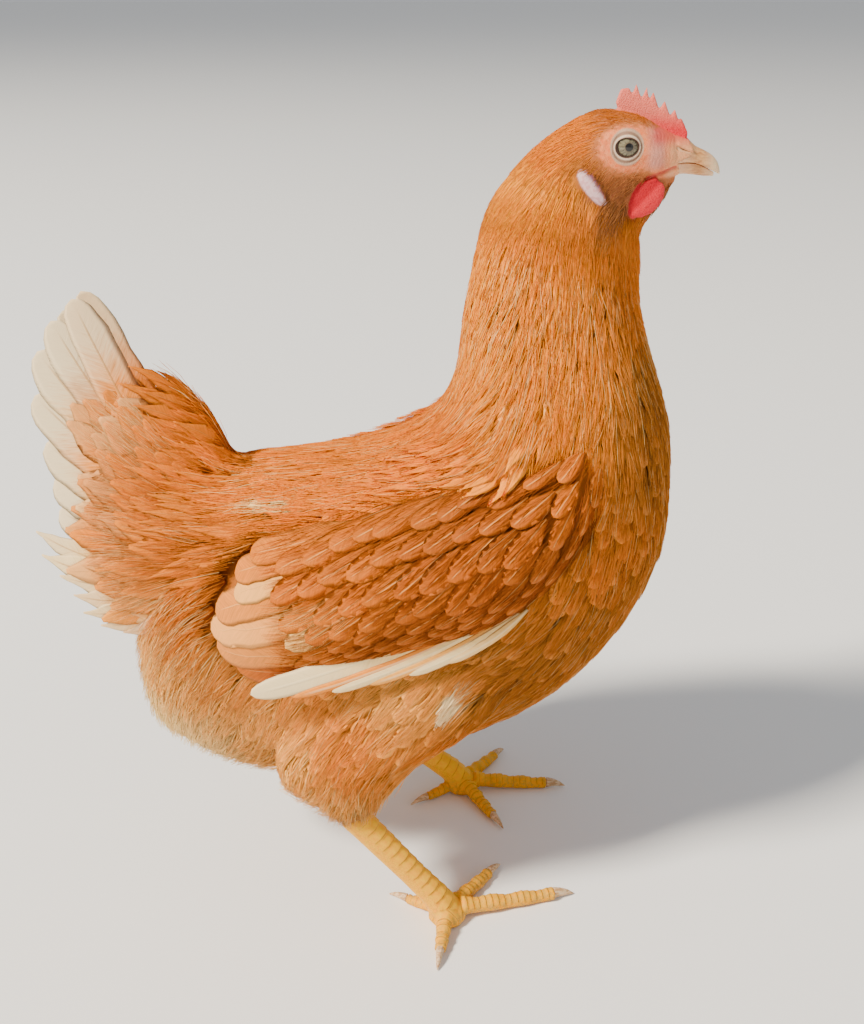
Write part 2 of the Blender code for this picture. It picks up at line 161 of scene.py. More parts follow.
def add_attribute(mesh, name, values):
    """Keeps an array on a mesh's points: single numbers, vectors of 3 or colours of 4."""
    columns = values.shape[-1] if values.ndim > 1 else 1
    kinds = {1: ("FLOAT", "value"), 3: ("FLOAT_VECTOR", "vector"), 4: ("FLOAT_COLOR", "color")}
    kind, key = kinds[columns]
    attribute = mesh.attributes.new(name, kind, "POINT")
    attribute.data.foreach_set(key, values.astype(np.float32).ravel())


def unit(vectors):
    return vectors / np.maximum(np.linalg.norm(vectors, axis=-1, keepdims=True), 1e-12)


def smoothstep(low, high, value):
    """0 at low and 1 at high, smooth between; it may run downwards."""
    share = np.clip((value - low) / (high - low), 0, 1)
    return share * share * (3 - 2 * share)


print("mesh tools ready")

# %% [markdown]
# The room is plain: a pale floor, a large soft key light high on the camera's left, a weak fill
# from the right and a pale sky. A small lamp would carve every feather's edge in black, so the
# key is broad and far away. The camera stands a little above the hen's head and looks down at
# her right side.
# %% Floor, light and camera
CAMERA_AT = (MIDDLE * MM, -0.565, 0.4585)
CAMERA_DOWN = 23.5  # degrees below level
CAMERA_LENS = 42.19  # millimetres, on a sensor 36 wide
FLOOR_SIZE, FLOOR_BELOW = 120, 0.0004
SKY_COLOUR, SKY_STRENGTH = (0.93, 0.96, 1.0, 1), 0.5


def make_light(name, at, aim, size, power, colour):
    """A square soft light of so many metres and watts."""
    data = bpy.data.lights.new(name, "AREA")
    data.size = size
    data.energy = power
    data.color = colour
    light = bpy.data.objects.new(name, data)
    light.location = at
    light.rotation_euler = (Vector(aim) - Vector(at)).to_track_quat("-Z", "Y").to_euler()
    bpy.context.scene.collection.objects.link(light)


bpy.ops.object.select_all(action="DESELECT")
bpy.ops.mesh.primitive_plane_add(size=FLOOR_SIZE, location=(0, 0, -FLOOR_BELOW))
floor = bpy.context.object
floor.name = "floor"
material = bpy.data.materials.new("pale_floor")
material.use_nodes = True
shader = material.node_tree.nodes["Principled BSDF"]
shader.inputs["Base Color"].default_value = (0.92, 0.91, 0.89, 1)
shader.inputs["Roughness"].default_value = 0.85
floor.data.materials.append(material)
make_light("key", (-4.71, -2.85, 5.56), (0.03, 0, 0.22), 1.35, 1350, (1.0, 0.92, 0.79))
make_light("fill", (1.6, -1.0, 0.9), (0.03, 0, 0.2), 1.2, 2.5, (0.95, 0.97, 1.0))
world = bpy.data.worlds.new("pale_sky")
world.use_nodes = True
sky = world.node_tree.nodes["Background"]
sky.inputs["Color"].default_value = SKY_COLOUR
sky.inputs["Strength"].default_value = SKY_STRENGTH
bpy.context.scene.world = world

lens = bpy.data.cameras.new("camera")
lens.lens = CAMERA_LENS
lens.sensor_width = 36
lens.clip_start = 0.01
camera = bpy.data.objects.new("camera", lens)
camera.location = CAMERA_AT
camera.rotation_euler = (math.radians(90 - CAMERA_DOWN), 0, 0)
bpy.context.scene.collection.objects.link(camera)
bpy.context.scene.camera = camera
print("camera at", CAMERA_AT)

# %% [markdown]
# Shader maths reads best as plain expressions, so a small class wraps a socket and turns +, -
# and * into Math nodes. Every other node comes from one method, node(), which takes the node's
# type, its settings and its sockets.
# %% Shader tools


class Value:
    """A number or colour travelling through a node tree."""

    def __init__(self, shade, socket):
        self.shade = shade
        self.socket = socket

    def math(self, operation, *values):
        sockets = dict(enumerate(values))
        return self.shade.node("ShaderNodeMath", {"operation": operation}, sockets)

    def __add__(self, other):
        return self.math("ADD", self, other)

    def __radd__(self, other):
        return self.math("ADD", other, self)

    def __sub__(self, other):
        return self.math("SUBTRACT", self, other)

    def __rsub__(self, other):
        return self.math("SUBTRACT", other, self)

    def __mul__(self, other):
        return self.math("MULTIPLY", self, other)

    def __rmul__(self, other):
        return self.math("MULTIPLY", other, self)

    def size(self):
        return self.math("ABSOLUTE", self)

    def step(self, low, high):
        """0 below low and 1 above high, smooth between; it may run downwards."""
        settings = {"interpolation_type": "SMOOTHSTEP"}
        if low < high:
            sockets = {"Value": self, "From Min": low, "From Max": high}
            return self.shade.node("ShaderNodeMapRange", settings, sockets)
        return 1 - self.step(high, low)


class Shade:
    """A material under construction."""

    def __init__(self, name, roughness=0.6, specular=0.5):
        self.material = bpy.data.materials.new(name)
        self.material.use_nodes = True
        self.tree = self.material.node_tree
        self.principled = self.tree.nodes["Principled BSDF"]
        self.set("Roughness", roughness)
        self.set("Specular IOR Level", specular)

    def join(self, socket, value):
        if isinstance(value, Value):
            self.tree.links.new(value.socket, socket)
        elif isinstance(value, tuple) and len(value) == 3 and socket.type == "RGBA":
            socket.default_value = (*value, 1)
        else:
            socket.default_value = value

    def node(self, kind, settings=None, sockets=None, output=0):
        made = self.tree.nodes.new(kind)
        for name, value in (settings or {}).items():
            setattr(made, name, value)
        for name, value in (sockets or {}).items():
            self.join(made.inputs[name], value)
        return Value(self, made.outputs[output])

    def set(self, socket, value):
        self.join(self.principled.inputs[socket], value)

    def attribute(self, name, output="Fac"):
        return self.node("ShaderNodeAttribute", {"attribute_name": name}, {}, output)

    def split(self, vector):
        """The three parts of a vector."""
        first = self.node("ShaderNodeSeparateXYZ", {}, {0: vector})
        return [Value(self, socket) for socket in first.socket.node.outputs]

    def vector(self, x, y, z):
        return self.node("ShaderNodeCombineXYZ", {}, {0: x, 1: y, 2: z})

    def place(self, scale=(1, 1, 1)):
        """Object coordinates in millimetres, stretched by scale."""
        at = self.node("ShaderNodeTexCoord", {}, {}, "Object")
        stretched = tuple(s / MM for s in scale)
        settings = {"operation": "MULTIPLY"}
        return self.node("ShaderNodeVectorMath", settings, {0: at, 1: stretched})

    def noise(self, at, scale=1.0, detail=3.0, rough=0.5):
        sockets = {"Vector": at, "Scale": scale, "Detail": detail, "Roughness": rough}
        return self.node("ShaderNodeTexNoise", {}, sockets)

    def cells(self, at, scale=1.0, feature="F1"):
        sockets = {"Vector": at, "Scale": scale}
        return self.node("ShaderNodeTexVoronoi", {"feature": feature}, sockets, "Distance")

    def mix(self, first, second, share, blend="MIX"):
        """One colour into another, by share."""
        settings = {"data_type": "RGBA", "blend_type": blend}
        return self.node("ShaderNodeMix", settings, {0: share, 6: first, 7: second}, 2)

    def bump(self, height, depth):
        """A normal from a height of 0 to 1 that stands for depth millimetres."""
        sockets = {"Height": height, "Distance": depth * MM, "Strength": 1.0}
        return self.node("ShaderNodeBump", {}, sockets)


print("shader tools ready")

# %% [markdown]
# The plumage hides the body, but it needs something smooth to lie on. The solids themselves
# meet in creases, so copies of them are swollen until they overlap, joined, and remeshed into
# one form without a seam. This form is the outside of the plumage: feather tips come up to it,
# and roots start below it.
# %% One smooth form under the plumage
FORM_VOXEL = 2.6
FORM_SWELL = 0.4
FORM_NODES = ["trunk", "neck", "head", "thigh_left", "thigh_right"]


def make_form(name, nodes, voxel, rounds):
    """One seamless mesh round the nodes."""
    return melt(copy_nodes(name, nodes, FORM_SWELL), voxel, rounds)


class Surface:
    """A mesh that can be asked for its nearest points, all at once."""

    def __init__(self, obj):
        self.points = vertex_array(obj.data)
        self.faces = [tuple(face.vertices) for face in obj.data.polygons]
        self.tree = BVHTree.FromPolygons(self.points.tolist(), self.faces)
        normals = normal_array(obj.data)
        self.normals = unit(np.array([normals[list(face)].mean(0) for face in self.faces]))

    def nearest(self, points):
        found = [self.tree.find_nearest(point) for point in np.asarray(points).tolist()]
        at = np.array([hit[0] for hit in found])
        return at, self.normals[[hit[2] for hit in found]]

    def covers(self, points, directions, reach):
        """True where a ray from a point meets this surface within reach."""
        rays = zip(points.tolist(), directions.tolist())
        return np.array([self.tree.ray_cast(at, way, reach)[0] is not None for at, way in rays])


body_form = make_form("body_form", FORM_NODES, FORM_VOXEL, 6)
body = Surface(body_form)
print("body form faces:", len(body.faces))

# %% [markdown]
# Plumage has a lie: feathers run back over the crown, down the neck, back along the body and
# down over the vent. The chart names places on her side and says, for each, which way feathers
# point there (in degrees, 180 is straight back and 270 straight down), how long and wide they
# are, and their ground colour. Every point of the body takes a mix of the places near it.
# %% The lie of the plumage
COLOURS = {
    "gold": (0.92, 0.285, 0.006),
    "ginger": (0.82, 0.205, 0.003),
    "copper": (0.40, 0.095, 0.006),
    "rufous": (0.37, 0.083, 0.004),
    "rust": (0.50, 0.120, 0.005),
    "orange": (0.78, 0.235, 0.018),
    "amber": (0.60, 0.155, 0.005),
    # tan is orange darkened partly as painted shade, for breast, keel, flanks and neck front, which
    # face away from the key light
    "shaded_tan": (0.52, 0.180, 0.024),
    "peach": (0.84, 0.36, 0.060),
    "straw": (0.86, 0.50, 0.15),
    "cream": (0.92, 0.62, 0.24),
    "white": (0.92, 0.72, 0.40),
    "brown": (0.36, 0.13, 0.035),
}
BODY_CHART = [  # place, x, z, angle, length, width, colour
    ("crown", 72, 402, 204, 8, 3.0, "ginger"),
    ("nape", 44, 386, 238, 15, 4.2, "gold"),
    ("cheek", 66, 376, 250, 9, 3.4, "orange"),
    ("throat", 90, 358, 262, 11, 3.6, "orange"),
    ("neck back high", 27, 352, 256, 22, 5.4, "gold"),
    ("neck side high", 60, 348, 263, 20, 5.4, "gold"),
    ("neck front high", 94, 335, 270, 15, 5.4, "orange"),
    ("neck back", 20, 315, 250, 31, 7.4, "gold"),
    ("neck side", 58, 312, 264, 31, 7.4, "gold"),
    ("neck front", 104, 295, 270, 19, 8.0, "shaded_tan"),
    ("neck root side", 52, 278, 258, 33, 9.0, "gold"),
    ("mantle", 12, 284, 222, 34, 10.0, "ginger"),
    ("breast top", 112, 255, 268, 21, 12.0, "shaded_tan"),
    ("breast", 114, 212, 262, 21, 13.0, "shaded_tan"),
    ("breast side", 88, 228, 256, 23, 13.0, "orange"),
    ("breast low", 98, 165, 240, 24, 14.0, "shaded_tan"),
    ("keel", 60, 120, 208, 26, 15.0, "shaded_tan"),
    ("belly", 8, 92, 190, 28, 15.0, "peach"),
    ("flank", 30, 150, 218, 28, 15.0, "shaded_tan"),
    ("back front", -5, 262, 200, 31, 12.0, "ginger"),
    ("back", -40, 251, 188, 33, 12.0, "ginger"),
    ("saddle", -75, 244, 180, 35, 11.0, "ginger"),
    ("tail root", -106, 240, 163, 34, 12.0, "amber"),
    ("rump", -86, 216, 190, 38, 13.0, "amber"),
    ("rump low", -98, 182, 218, 38, 13.0, "amber"),
    ("vent side", -124, 152, 236, 28, 9.0, "peach"),
    ("vent", -143, 122, 252, 22, 7.0, "cream"),
    ("vent low", -118, 84, 240, 22, 7.0, "cream"),
    ("belly back", -60, 72, 205, 26, 10.0, "peach"),
    ("thigh top", 2, 150, 230, 26, 13.0, "peach"),
    ("thigh front", 18, 128, 236, 24, 12.0, "orange"),
    ("thigh middle", -30, 120, 236, 25, 10.0, "orange"),
    ("thigh back", -66, 108, 244, 25, 9.0, "peach"),
    ("thigh low", -43, 88, 258, 15, 5.5, "peach"),
    ("hock", -42, 72, 266, 9, 3.6, "brown"),
]
CHART_BLUR = 14.0  # how far, in millimetres, a place's own values hold before they mix


class Chart:
    """Values that change smoothly between named places on the hen's side."""

    def __init__(self, rows, blur=CHART_BLUR):
        self.blur = blur
        self.at = np.array([row[1:3] for row in rows], float)
        angle = np.radians([row[3] for row in rows])
        numbers = [np.cos(angle), np.sin(angle), *np.array([row[4:6] for row in rows]).T]
        colours = np.array([COLOURS[row[6]] for row in rows])
        self.values = np.column_stack([*numbers, colours])

    def read(self, points):
        """Direction, length, width and colour at points in metres."""
        own = own_measure(points)[:, [0, 2]]
        apart = ((own[:, None] - self.at[None]) ** 2).sum(-1) + self.blur**2
        weight = apart**-2.5
        mixed = weight @ self.values / weight.sum(1, keepdims=True)
        direction = np.column_stack([mixed[:, 0], np.zeros(len(mixed)), mixed[:, 1]])
        return unit(direction), mixed[:, 2], mixed[:, 3], mixed[:, 4:7]

    def heading(self, points, normals, turn=0.0):
        """The lie along the surface, turned by an angle in radians for each feather."""
        direction = self.read(points)[0]
        flat = unit(direction - normals * (direction * normals).sum(1, keepdims=True))
        across = np.cross(normals, flat)
        turn = np.broadcast_to(turn, len(points))
        return flat * np.cos(turn)[:, None] + across * np.sin(turn)[:, None]


body_chart = Chart(BODY_CHART)
print("places in the body chart:", len(BODY_CHART))

# %% [markdown]
# A feather could be a flat card with a picture on it, but cards have no thickness and show
# their straight edges. Here it is modelled once, as a blank: a long prism with few sides, cut
# into rings by subdividing its long edges. A ring's points are later spread into a thin lens,
# sharp at both edges of the vane, so every feather is a closed solid. A strand of down needs
# three sides, a body feather six, and a big quill eight.
# %% The feather blanks


class Blank:
    """A prism of `sides` faces and `spans` lengths, read as share along, share across and lift.
    A larger bunch brings the rings closer together towards the tip."""

    def __init__(self, sides, spans, bunch):
        bpy.ops.object.select_all(action="DESELECT")
        bpy.ops.mesh.primitive_cylinder_add(vertices=sides, radius=1, depth=1)
        prism = bpy.context.object
        switch_to("EDIT")
        bpy.ops.mesh.select_all(action="SELECT")
        turn = {3: math.pi / 2, 6: math.pi / 6, 8: 0.0}[sides]  # brings a corner to each edge
        bpy.ops.transform.rotate(value=turn, orient_axis="Z", center_override=(0, 0, 0))
        bpy.ops.mesh.select_all(action="DESELECT")
        bpy.ops.mesh.select_mode(type="EDGE")
        switch_to("OBJECT")
        mesh = prism.data
        for edge in mesh.edges:
            low, high = (mesh.vertices[i].co.z for i in edge.vertices)
            edge.select = abs(low - high) > 0.5
        switch_to("EDIT")
        bpy.ops.mesh.subdivide(number_cuts=spans - 1)
        bpy.ops.mesh.select_all(action="SELECT")
        bpy.ops.mesh.normals_make_consistent(inside=False)
        switch_to("OBJECT")
        points = vertex_array(mesh)
        self.ring = np.rint((points[:, 2] + 0.5) * spans).astype(int)
        self.along = 1 - (1 - np.arange(spans + 1) / spans) ** bunch
        self.across = points[:, 0] / np.abs(points[:, 0]).max()
        self.lift = points[:, 1]
        self.lift[np.abs(self.lift) < 1e-4] = 0
        self.across[np.abs(self.across) < 1e-4] = 0
        self.loops = np.concatenate([list(face.vertices) for face in mesh.polygons])
        self.loop_counts = np.array([len(face.vertices) for face in mesh.polygons])
        self.triangles = int((self.loop_counts - 2).sum())
        bpy.data.objects.remove(prism)


blanks = {
    "hair": Blank(3, 3, 1.0),
    "vane": Blank(6, 7, 1.5),
    "quill": Blank(8, 14, 1.6),
}
print("triangles in a blank:", {name: blank.triangles for name, blank in blanks.items()})

# %% [markdown]
# A feather's outline is how wide its vane is at each share of its length. Contour feathers are
# broad with a round end, hackles are lances, quills keep their width almost to the tip, plumes
# and ovals narrow earlier, and a strand thins all along.
# %% Feather outlines


def round_end(t, start, power=2.0):
    """1 up to start, then a rounded end."""
    return np.sqrt(np.clip(1 - np.clip((t - start) / (1 - start), 0, 1) ** power, 0, 1))


OUTLINES = {
    "contour": lambda t: (0.25 + 0.75 * smoothstep(0, 0.45, t)) * round_end(t, 0.55, 2.2) + 0.03,
    "hackle": lambda t: (0.35 + 0.65 * smoothstep(0, 0.35, t)) * smoothstep(1.06, 0.3, t) + 0.02,
    "quill": lambda t: (0.35 + 0.65 * smoothstep(0, 0.3, t)) * round_end(t, 0.84, 2.0) + 0.02,
    "plume": lambda t: (0.35 + 0.65 * smoothstep(0, 0.3, t)) * smoothstep(1.04, 0.7, t) + 0.02,
    "oval": lambda t: (0.3 + 0.7 * smoothstep(0, 0.4, t)) * smoothstep(1.12, 0.55, t) + 0.02,
    "hair": lambda t: 1 - 0.8 * t,
}
print("outlines:", ", ".join(OUTLINES))

# %% [markdown]
# Roots are strewn over the form so that no two are closer than the feathers there allow. A
# grid would show as rows, and plain chance would leave bald spots. So many random points are
# tried, and one is kept only if its neighbours leave it room, which gives the even but
# irregular spacing of real plumage.
# %% Where feathers grow


def every(spacing):
    """The same spacing, in millimetres, everywhere."""
    return lambda points: np.full(len(points), spacing)


def scatter(surface, spacing_of, keep, tries, above=None):
    """Roots on a surface, no closer than spacing_of(points) millimetres, where keep(points, normals)
    holds. Faces lower than `above` millimetres are left out from the start."""
    corners = np.array([surface.points[list(face[:3])] for face in surface.faces])
    fourth = np.array([surface.points[face[-1]] for face in surface.faces])
    edge_a, edge_b = corners[:, 1] - corners[:, 0], fourth - corners[:, 0]
    area = np.linalg.norm(np.cross(edge_a, edge_b), axis=1)
    if above is not None:
        area = area * (corners[:, 0, 2] > above * MM)
    picks = rng.choice(len(area), tries, p=area / area.sum())
    shares = rng.random((tries, 2))
    points = corners[picks, 0] + edge_a[picks] * shares[:, :1] + edge_b[picks] * shares[:, 1:]
    normals = surface.normals[picks]
    wanted = keep(points, normals)
    points, normals = points[wanted], normals[wanted]
    spacing = spacing_of(points) * MM
    homes = np.floor(points / spacing.max()).astype(int)
    taken = {}
    kept = []
    for i, (point, home, gap) in enumerate(zip(points.tolist(), homes.tolist(), spacing.tolist())):
        x, y, z = home
        near = (
            other
            for a in (x - 1, x, x + 1)
            for b in (y - 1, y, y + 1)
            for c in (z - 1, z, z + 1)
            for other in taken.get((a, b, c), ())
        )
        if all(math.dist(point, other) >= gap for other in near):
            taken.setdefault((x, y, z), []).append(point)
            kept.append(i)
    return points[kept]


print("roots can be strewn")

# %% [markdown]
# A feather follows a line on a surface. Small feathers are walked from their roots, step by
# step, along the lie. Big ones, such as tail feathers, are given both ends, and their line is
# drawn between them with a slight bow.
# %% The line of a feather


def walk(surface, roots, t, length, turn, chart, free_from):
    """Lines along the lie: points and normals, one row for each share in t. From the share
    free_from on they leave the surface and run straight."""
    at, up = surface.nearest(roots)
    heading = chart.heading(at, up, turn)
    line, ups = [at], [up]
    for k in range(1, len(t)):
        step = (length * (t[k] - t[k - 1]))[:, None]
        ahead = at + heading * step
        if t[k] < free_from:
            at, up = surface.nearest(ahead)
            heading = unit(chart.heading(at, up, turn) * 0.6 + heading * 0.4)
            heading = unit(heading - up * (heading * up).sum(1, keepdims=True))
        else:
            at = ahead
        line.append(at)
        ups.append(up)
    return np.array(line), np.array(ups)


def between(surface, starts, ends, t, bow):
    """Lines from starts to ends over a sheet; bow is millimetres sideways at the middle."""
    share = t[:, None, None]
    chord = ends - starts
    sideways = unit(np.cross(chord, np.array([0, 1.0, 0])))
    line = starts + chord * share + sideways * (4 * share * (1 - share) * bow[None, :, None] * MM)
    flat, ups = surface.nearest(line.reshape(-1, 3))
    return flat.reshape(line.shape), ups.reshape(line.shape)


print("lines can be drawn")

# %% [markdown]
# Round its line a feather is the blank, spread into a thin lens. Its two edges are dropped onto
# the form as well, so that it hugs the body the way a real one does. It rises from below the
# surface to just above it, so each row lies over the next like tiles, and all feathers of a
# coat become one mesh.
#
# Every point keeps what its material needs: `vane` is its share along and across the feather
# and the feather's own number, `size` is the same in millimetres, `tint` is the ground colour
# and `mark` says how strong the pale streak, edge and tip are.
# %% From lines to feathers
coats = []  # every coat, with its roots, its places along and across, and points in a feather


def fill_mesh(mesh, blank, points):
    """Copies of the blank's faces over points, an array of feathers by points of a feather."""
    count, size = points.shape[:2]
    mesh.vertices.add(count * size)
    mesh.vertices.foreach_set("co", points.astype(np.float32).ravel())
    loops = (blank.loops[None] + np.arange(count)[:, None] * size).ravel()
    ends = np.cumsum(np.tile(blank.loop_counts, count))
    mesh.loops.add(len(loops))
    mesh.loops.foreach_set("vertex_index", loops.astype(np.int32))
    mesh.polygons.add(len(ends))
    mesh.polygons.foreach_set("loop_start", np.concatenate([[0], ends[:-1]]).astype(np.int32))
    mesh.update(calc_edges=True)
    mesh.shade_smooth()


def for_each(look, key, count):
    """A look's value for each of count feathers, 0 where it says nothing."""
    return np.broadcast_to(np.asarray(look.get(key, 0.0), float), (count,))


def build_coat(name, blank, outline, line, ups, look, hug=None):
    """One mesh of feathers on lines. `look` holds arrays, one value for each feather, or single
    numbers. In millimetres: width, how far the root sinks and the tip rises, how thick the vane
    is, how much its middle stands up (camber) and one edge over the other (tilt). As shares:
    fray, streak, edge and tip. `tint` is a colour."""
    rings, count = line.shape[:2]
    t = blank.along

    def each(key):
        return for_each(look, key, count)

    heading = unit(np.gradient(line, axis=0))
    across = unit(np.cross(ups, heading))
    half = each("width") * MM / 2
    width = half * outline(t)[:, None]
    fray = 1 - each("fray") * rng.random((2, rings, count)) ** 2
    sides = []
    for sign, share in ((-1, fray[0]), (1, fray[1])):
        edge = line + across * (sign * width * share)[..., None]
        if hug is None:
            sides.append((edge, ups))
        else:
            flat, edge_up = hug.nearest(edge.reshape(-1, 3))
            sides.append((flat.reshape(edge.shape), edge_up.reshape(edge.shape)))
    (left, left_up), (right, right_up) = sides

    share = t[:, None]
    lift_off = (-each("sink") * (1 - share) ** 1.3 + each("rise") * share**1.5) * MM
    k, s = blank.ring, blank.across
    side = s[:, None, None]
    points = line[k] + side * (right[k] - left[k]) / 2
    points = points + side**2 * ((right[k] + left[k]) / 2 - line[k])
    lean = ups[k] + side * (right_up[k] - left_up[k]) / 2
    lean = unit(lean + side**2 * ((right_up[k] + left_up[k]) / 2 - ups[k]))
    thickness = each("thick") * MM * (1 - 0.6 * t[k][:, None]) * blank.lift[:, None]
    camber = each("camber") * MM * (1 - s[:, None] ** 2) * outline(t)[k][:, None]
    tilt = each("tilt") * MM * s[:, None] * outline(t)[k][:, None]
    points = points + lean * (lift_off[k] + thickness + camber + tilt)[..., None]

    mesh = bpy.data.meshes.new(name)
    fill_mesh(mesh, blank, points.transpose(1, 0, 2))
    ones = np.ones((count, len(k)))
    vane = np.stack([ones * t[k], ones * s, rng.random((count, 1)) * ones], -1)
    add_attribute(mesh, "vane", vane)
    lengths = np.linalg.norm(np.diff(line, axis=0), axis=2).sum(0) / MM
    in_mm = [vane[..., 0] * lengths[:, None], vane[..., 1] * (width / MM).T[:, k], vane[..., 0] * 0]
    add_attribute(mesh, "size", np.stack(in_mm, -1))
    tint = np.asarray(look["tint"])[:, None] * ones[..., None]
    add_attribute(mesh, "tint", np.concatenate([tint, ones[..., None]], -1))
    marks = [each(key)[:, None] * ones for key in ("streak", "edge", "tip")]
    add_attribute(mesh, "mark", np.stack(marks, -1))
    coat = bpy.data.objects.new(name, mesh)
    bpy.context.scene.collection.objects.link(coat)
    coats.append((coat, line[0], vane[..., :2].reshape(-1, 2), len(k)))
    print(f"{name}: {count} feathers, {count * blank.triangles} triangles")
    return coat


def some(look, chosen):
    """The looks of the chosen feathers."""
    arrays = {key: value[chosen] for key, value in look.items() if isinstance(value, np.ndarray)}
    return {**look, **arrays}


def lay(name, kind, outline, surface, roots, look, chart, free_from=2.0, hug=True):
    """A coat of small feathers along the lie. `look` also holds length, and turn in radians."""
    blank = blanks[kind]
    length, turn = (for_each(look, key, len(roots)) for key in ("length", "turn"))
    line, ups = walk(surface, roots, blank.along, length * MM, turn, chart, free_from)
    return build_coat(name, blank, OUTLINES[outline], line, ups, look, surface if hug else None)


print("feathers can be built")

# %% [markdown]
# Plumage shines little and shows its barbs. A noise over the whole bird would run across the
# feathers, so the material works in each feather's own measure. Barbs leave the shaft at a
# slant, so fine streaks run along `along - across`; the shaft is a thin pale line; the base of
# each vane is darker, because the one above shades it and the down there is dusky.
# %% The plumage material
BARB_SLANT = 0.9
BARB_RELIEF = 0.35  # millimetres


def plumage(
    name,
    shaft=0.3,
    streaky=0.3,
    pale=(0.90, 0.56, 0.24),
    shaft_width=0.32,
    rib_colour=None,
    fades=(0.3, 0.85),
):
    """One finish of plumage: how strongly shaft and streaks show, the colour of pale marks, the
    shaft's width in millimetres and colour, and between which shares of its length a tip fades."""
    shade = Shade(name, 0.6, 0.10)
    share_along, share_across, seed = shade.split(shade.attribute("vane", "Vector"))
    along, across, _ = shade.split(shade.attribute("size", "Vector"))
    streak, edge, tip = shade.split(shade.attribute("mark", "Vector"))
    tint = shade.attribute("tint", "Color")
    out = across.size()
    barb = along - out * BARB_SLANT
    own = seed * 57.0
    clumps = shade.noise(shade.vector(barb * 0.85, across * 0.12, own), 1.0, 3.0, 0.6)
    fine = shade.noise(shade.vector(barb * 3.2, across * 0.2, own), 1.0, 2.0, 0.6)
    cloud = shade.noise(shade.vector(along * 0.12, across * 0.1, own), 1.0, 2.0)
    tone = 1 + (clumps - 0.5) * (streaky * 1.6) + (fine - 0.5) * (streaky * 1.2) + (cloud - 0.5) * 0.3
    # painted shade: each vane's base is darker where the feather above shades it, and also for its
    # dusky down
    tone = tone * (0.8 + 0.26 * share_along.step(0.05, 0.5))
    colour = shade.mix(tint, shade.vector(tone, tone, tone), 1.0, "MULTIPLY")
    width_share = share_across.size()
    stripe = width_share.step(0.75, 0.1) * share_along.step(0.35, 0.6)
    stripe = stripe * share_along.step(1.0, 0.9)
    colour = shade.mix(colour, pale, streak * stripe * (0.55 + 0.45 * clumps))
    rim = width_share.step(0.55, 1.0) * (0.4 + 0.6 * fine)
    colour = shade.mix(colour, pale, edge * rim)
    fade = (share_along + (clumps - 0.5) * 0.3).step(*fades)
    colour = shade.mix(colour, pale, tip * fade)
    rib = (1 - out.step(shaft_width * 0.5, shaft_width * 1.3)) * share_along.step(0.98, 0.86)
    colour = shade.mix(colour, rib_colour or pale, rib * shaft)
    shade.set("Base Color", colour)
    height = clumps * 0.5 + fine * 0.35 + rib * 0.5
    shade.set("Normal", shade.bump(height, BARB_RELIEF))
    shade.set("Sheen Weight", 0.03)
    shade.set("Sheen Roughness", 0.4)
    shade.set("Sheen Tint", (1.0, 0.62, 0.30))
    return shade.material


def dress(piece, material, *nodes, slot="ginger_plumage"):
    """Gives a piece its material, its body and the nodes that it stands for."""
    piece.data.materials.append(material)
    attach(piece, "root")
    if nodes:
        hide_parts(*nodes)


def varied(tint, spread=0.10, warm=0.05):
    """Each feather's own shade of its ground colour."""
    count = len(tint)
    level = 1 + rng.normal(0, spread, (count, 1))
    shift = rng.normal(0, warm, (count, 1)) * np.array([[-0.3, 0.6, 1.6]])
    return np.clip(tint * level * (1 + shift), 0.0, 0.95)


print("plumage material ready")

# %% [markdown]
# Under the plumage is one skin, from comb to toes. Remeshed in one go it would be either too
# coarse for the eyelids or too heavy, so it is built in three finenesses: a coarse body, which
# hardly shows, a fine head with its comb, wattles, earlobes and eyelids, and fine legs. Each is
# remeshed from copies of the solids, and the three are then united, so the neck and hocks show
# no seam.
# %% Body skin, inside the plumage
COAT_DEPTH = {"trunk": 6.0, "neck": 3.2, "hock": 1.6, "head": 1.2}
BODY_SKIN_VOXEL = 3.0


def sink_into_body(obj, depth_of):
    """Moves each point inwards by depth_of(points) millimetres."""
    points, normals = vertex_array(obj.data), normal_array(obj.data)
    set_vertices(obj.data, points - normals * (depth_of(points) * MM)[:, None])


def body_depth(points):
    """How deep under the plumage's outside the skin lies, in millimetres."""
    height = own_measure(points)[:, 2]
    depth = np.full(len(points), COAT_DEPTH["trunk"])
    for place_name, share in (
        ("neck", smoothstep(250, 330, height)),
        ("hock", smoothstep(100, 68, height)),
        ("head", smoothstep(352, 372, height)),
    ):
        depth = depth + (COAT_DEPTH[place_name] - depth) * share
    return depth


body_skin = make_form("hen_skin", [*FORM_NODES, "wing_left", "wing_right"], BODY_SKIN_VOXEL, 10)
sink_into_body(body_skin, body_depth)
print("body skin faces:", len(body_skin.data.polygons))

# %% [markdown]
# An eyelid is a thin shell lying on the eyeball with an almond opening, flatter above than
# below. Here it is a sphere a little larger than the eye; the faces inside the opening and all
# of its inner half are deleted, and Solidify gives what is left the thickness of a lid.
# %% Eyelids
EYE_BALL = 7.2
LID_OUT, LID_THICK = 8.15, 0.95
LID_FROM = 0.8  # the lids' inner ends, in millimetres outwards from the eye's middle
OPENING_HALF_WIDTH = 5.2
OPENING_TOP, OPENING_BOTTOM = 3.9, 4.15
OPENING_TILT = math.radians(4)


def eye_centre(side):
    low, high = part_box(f"eye_{side}")
    return (low + high) / 2


def opening_share(x, z):
    """Below 1 inside the opening; x and z are millimetres from the eye's middle."""
    cosine, sine = math.cos(OPENING_TILT), math.sin(OPENING_TILT)
    x, z = x * cosine - z * sine, x * sine + z * cosine
    tall = OPENING_TOP if z > 0 else OPENING_BOTTOM
    return math.hypot(x / OPENING_HALF_WIDTH, z / tall)


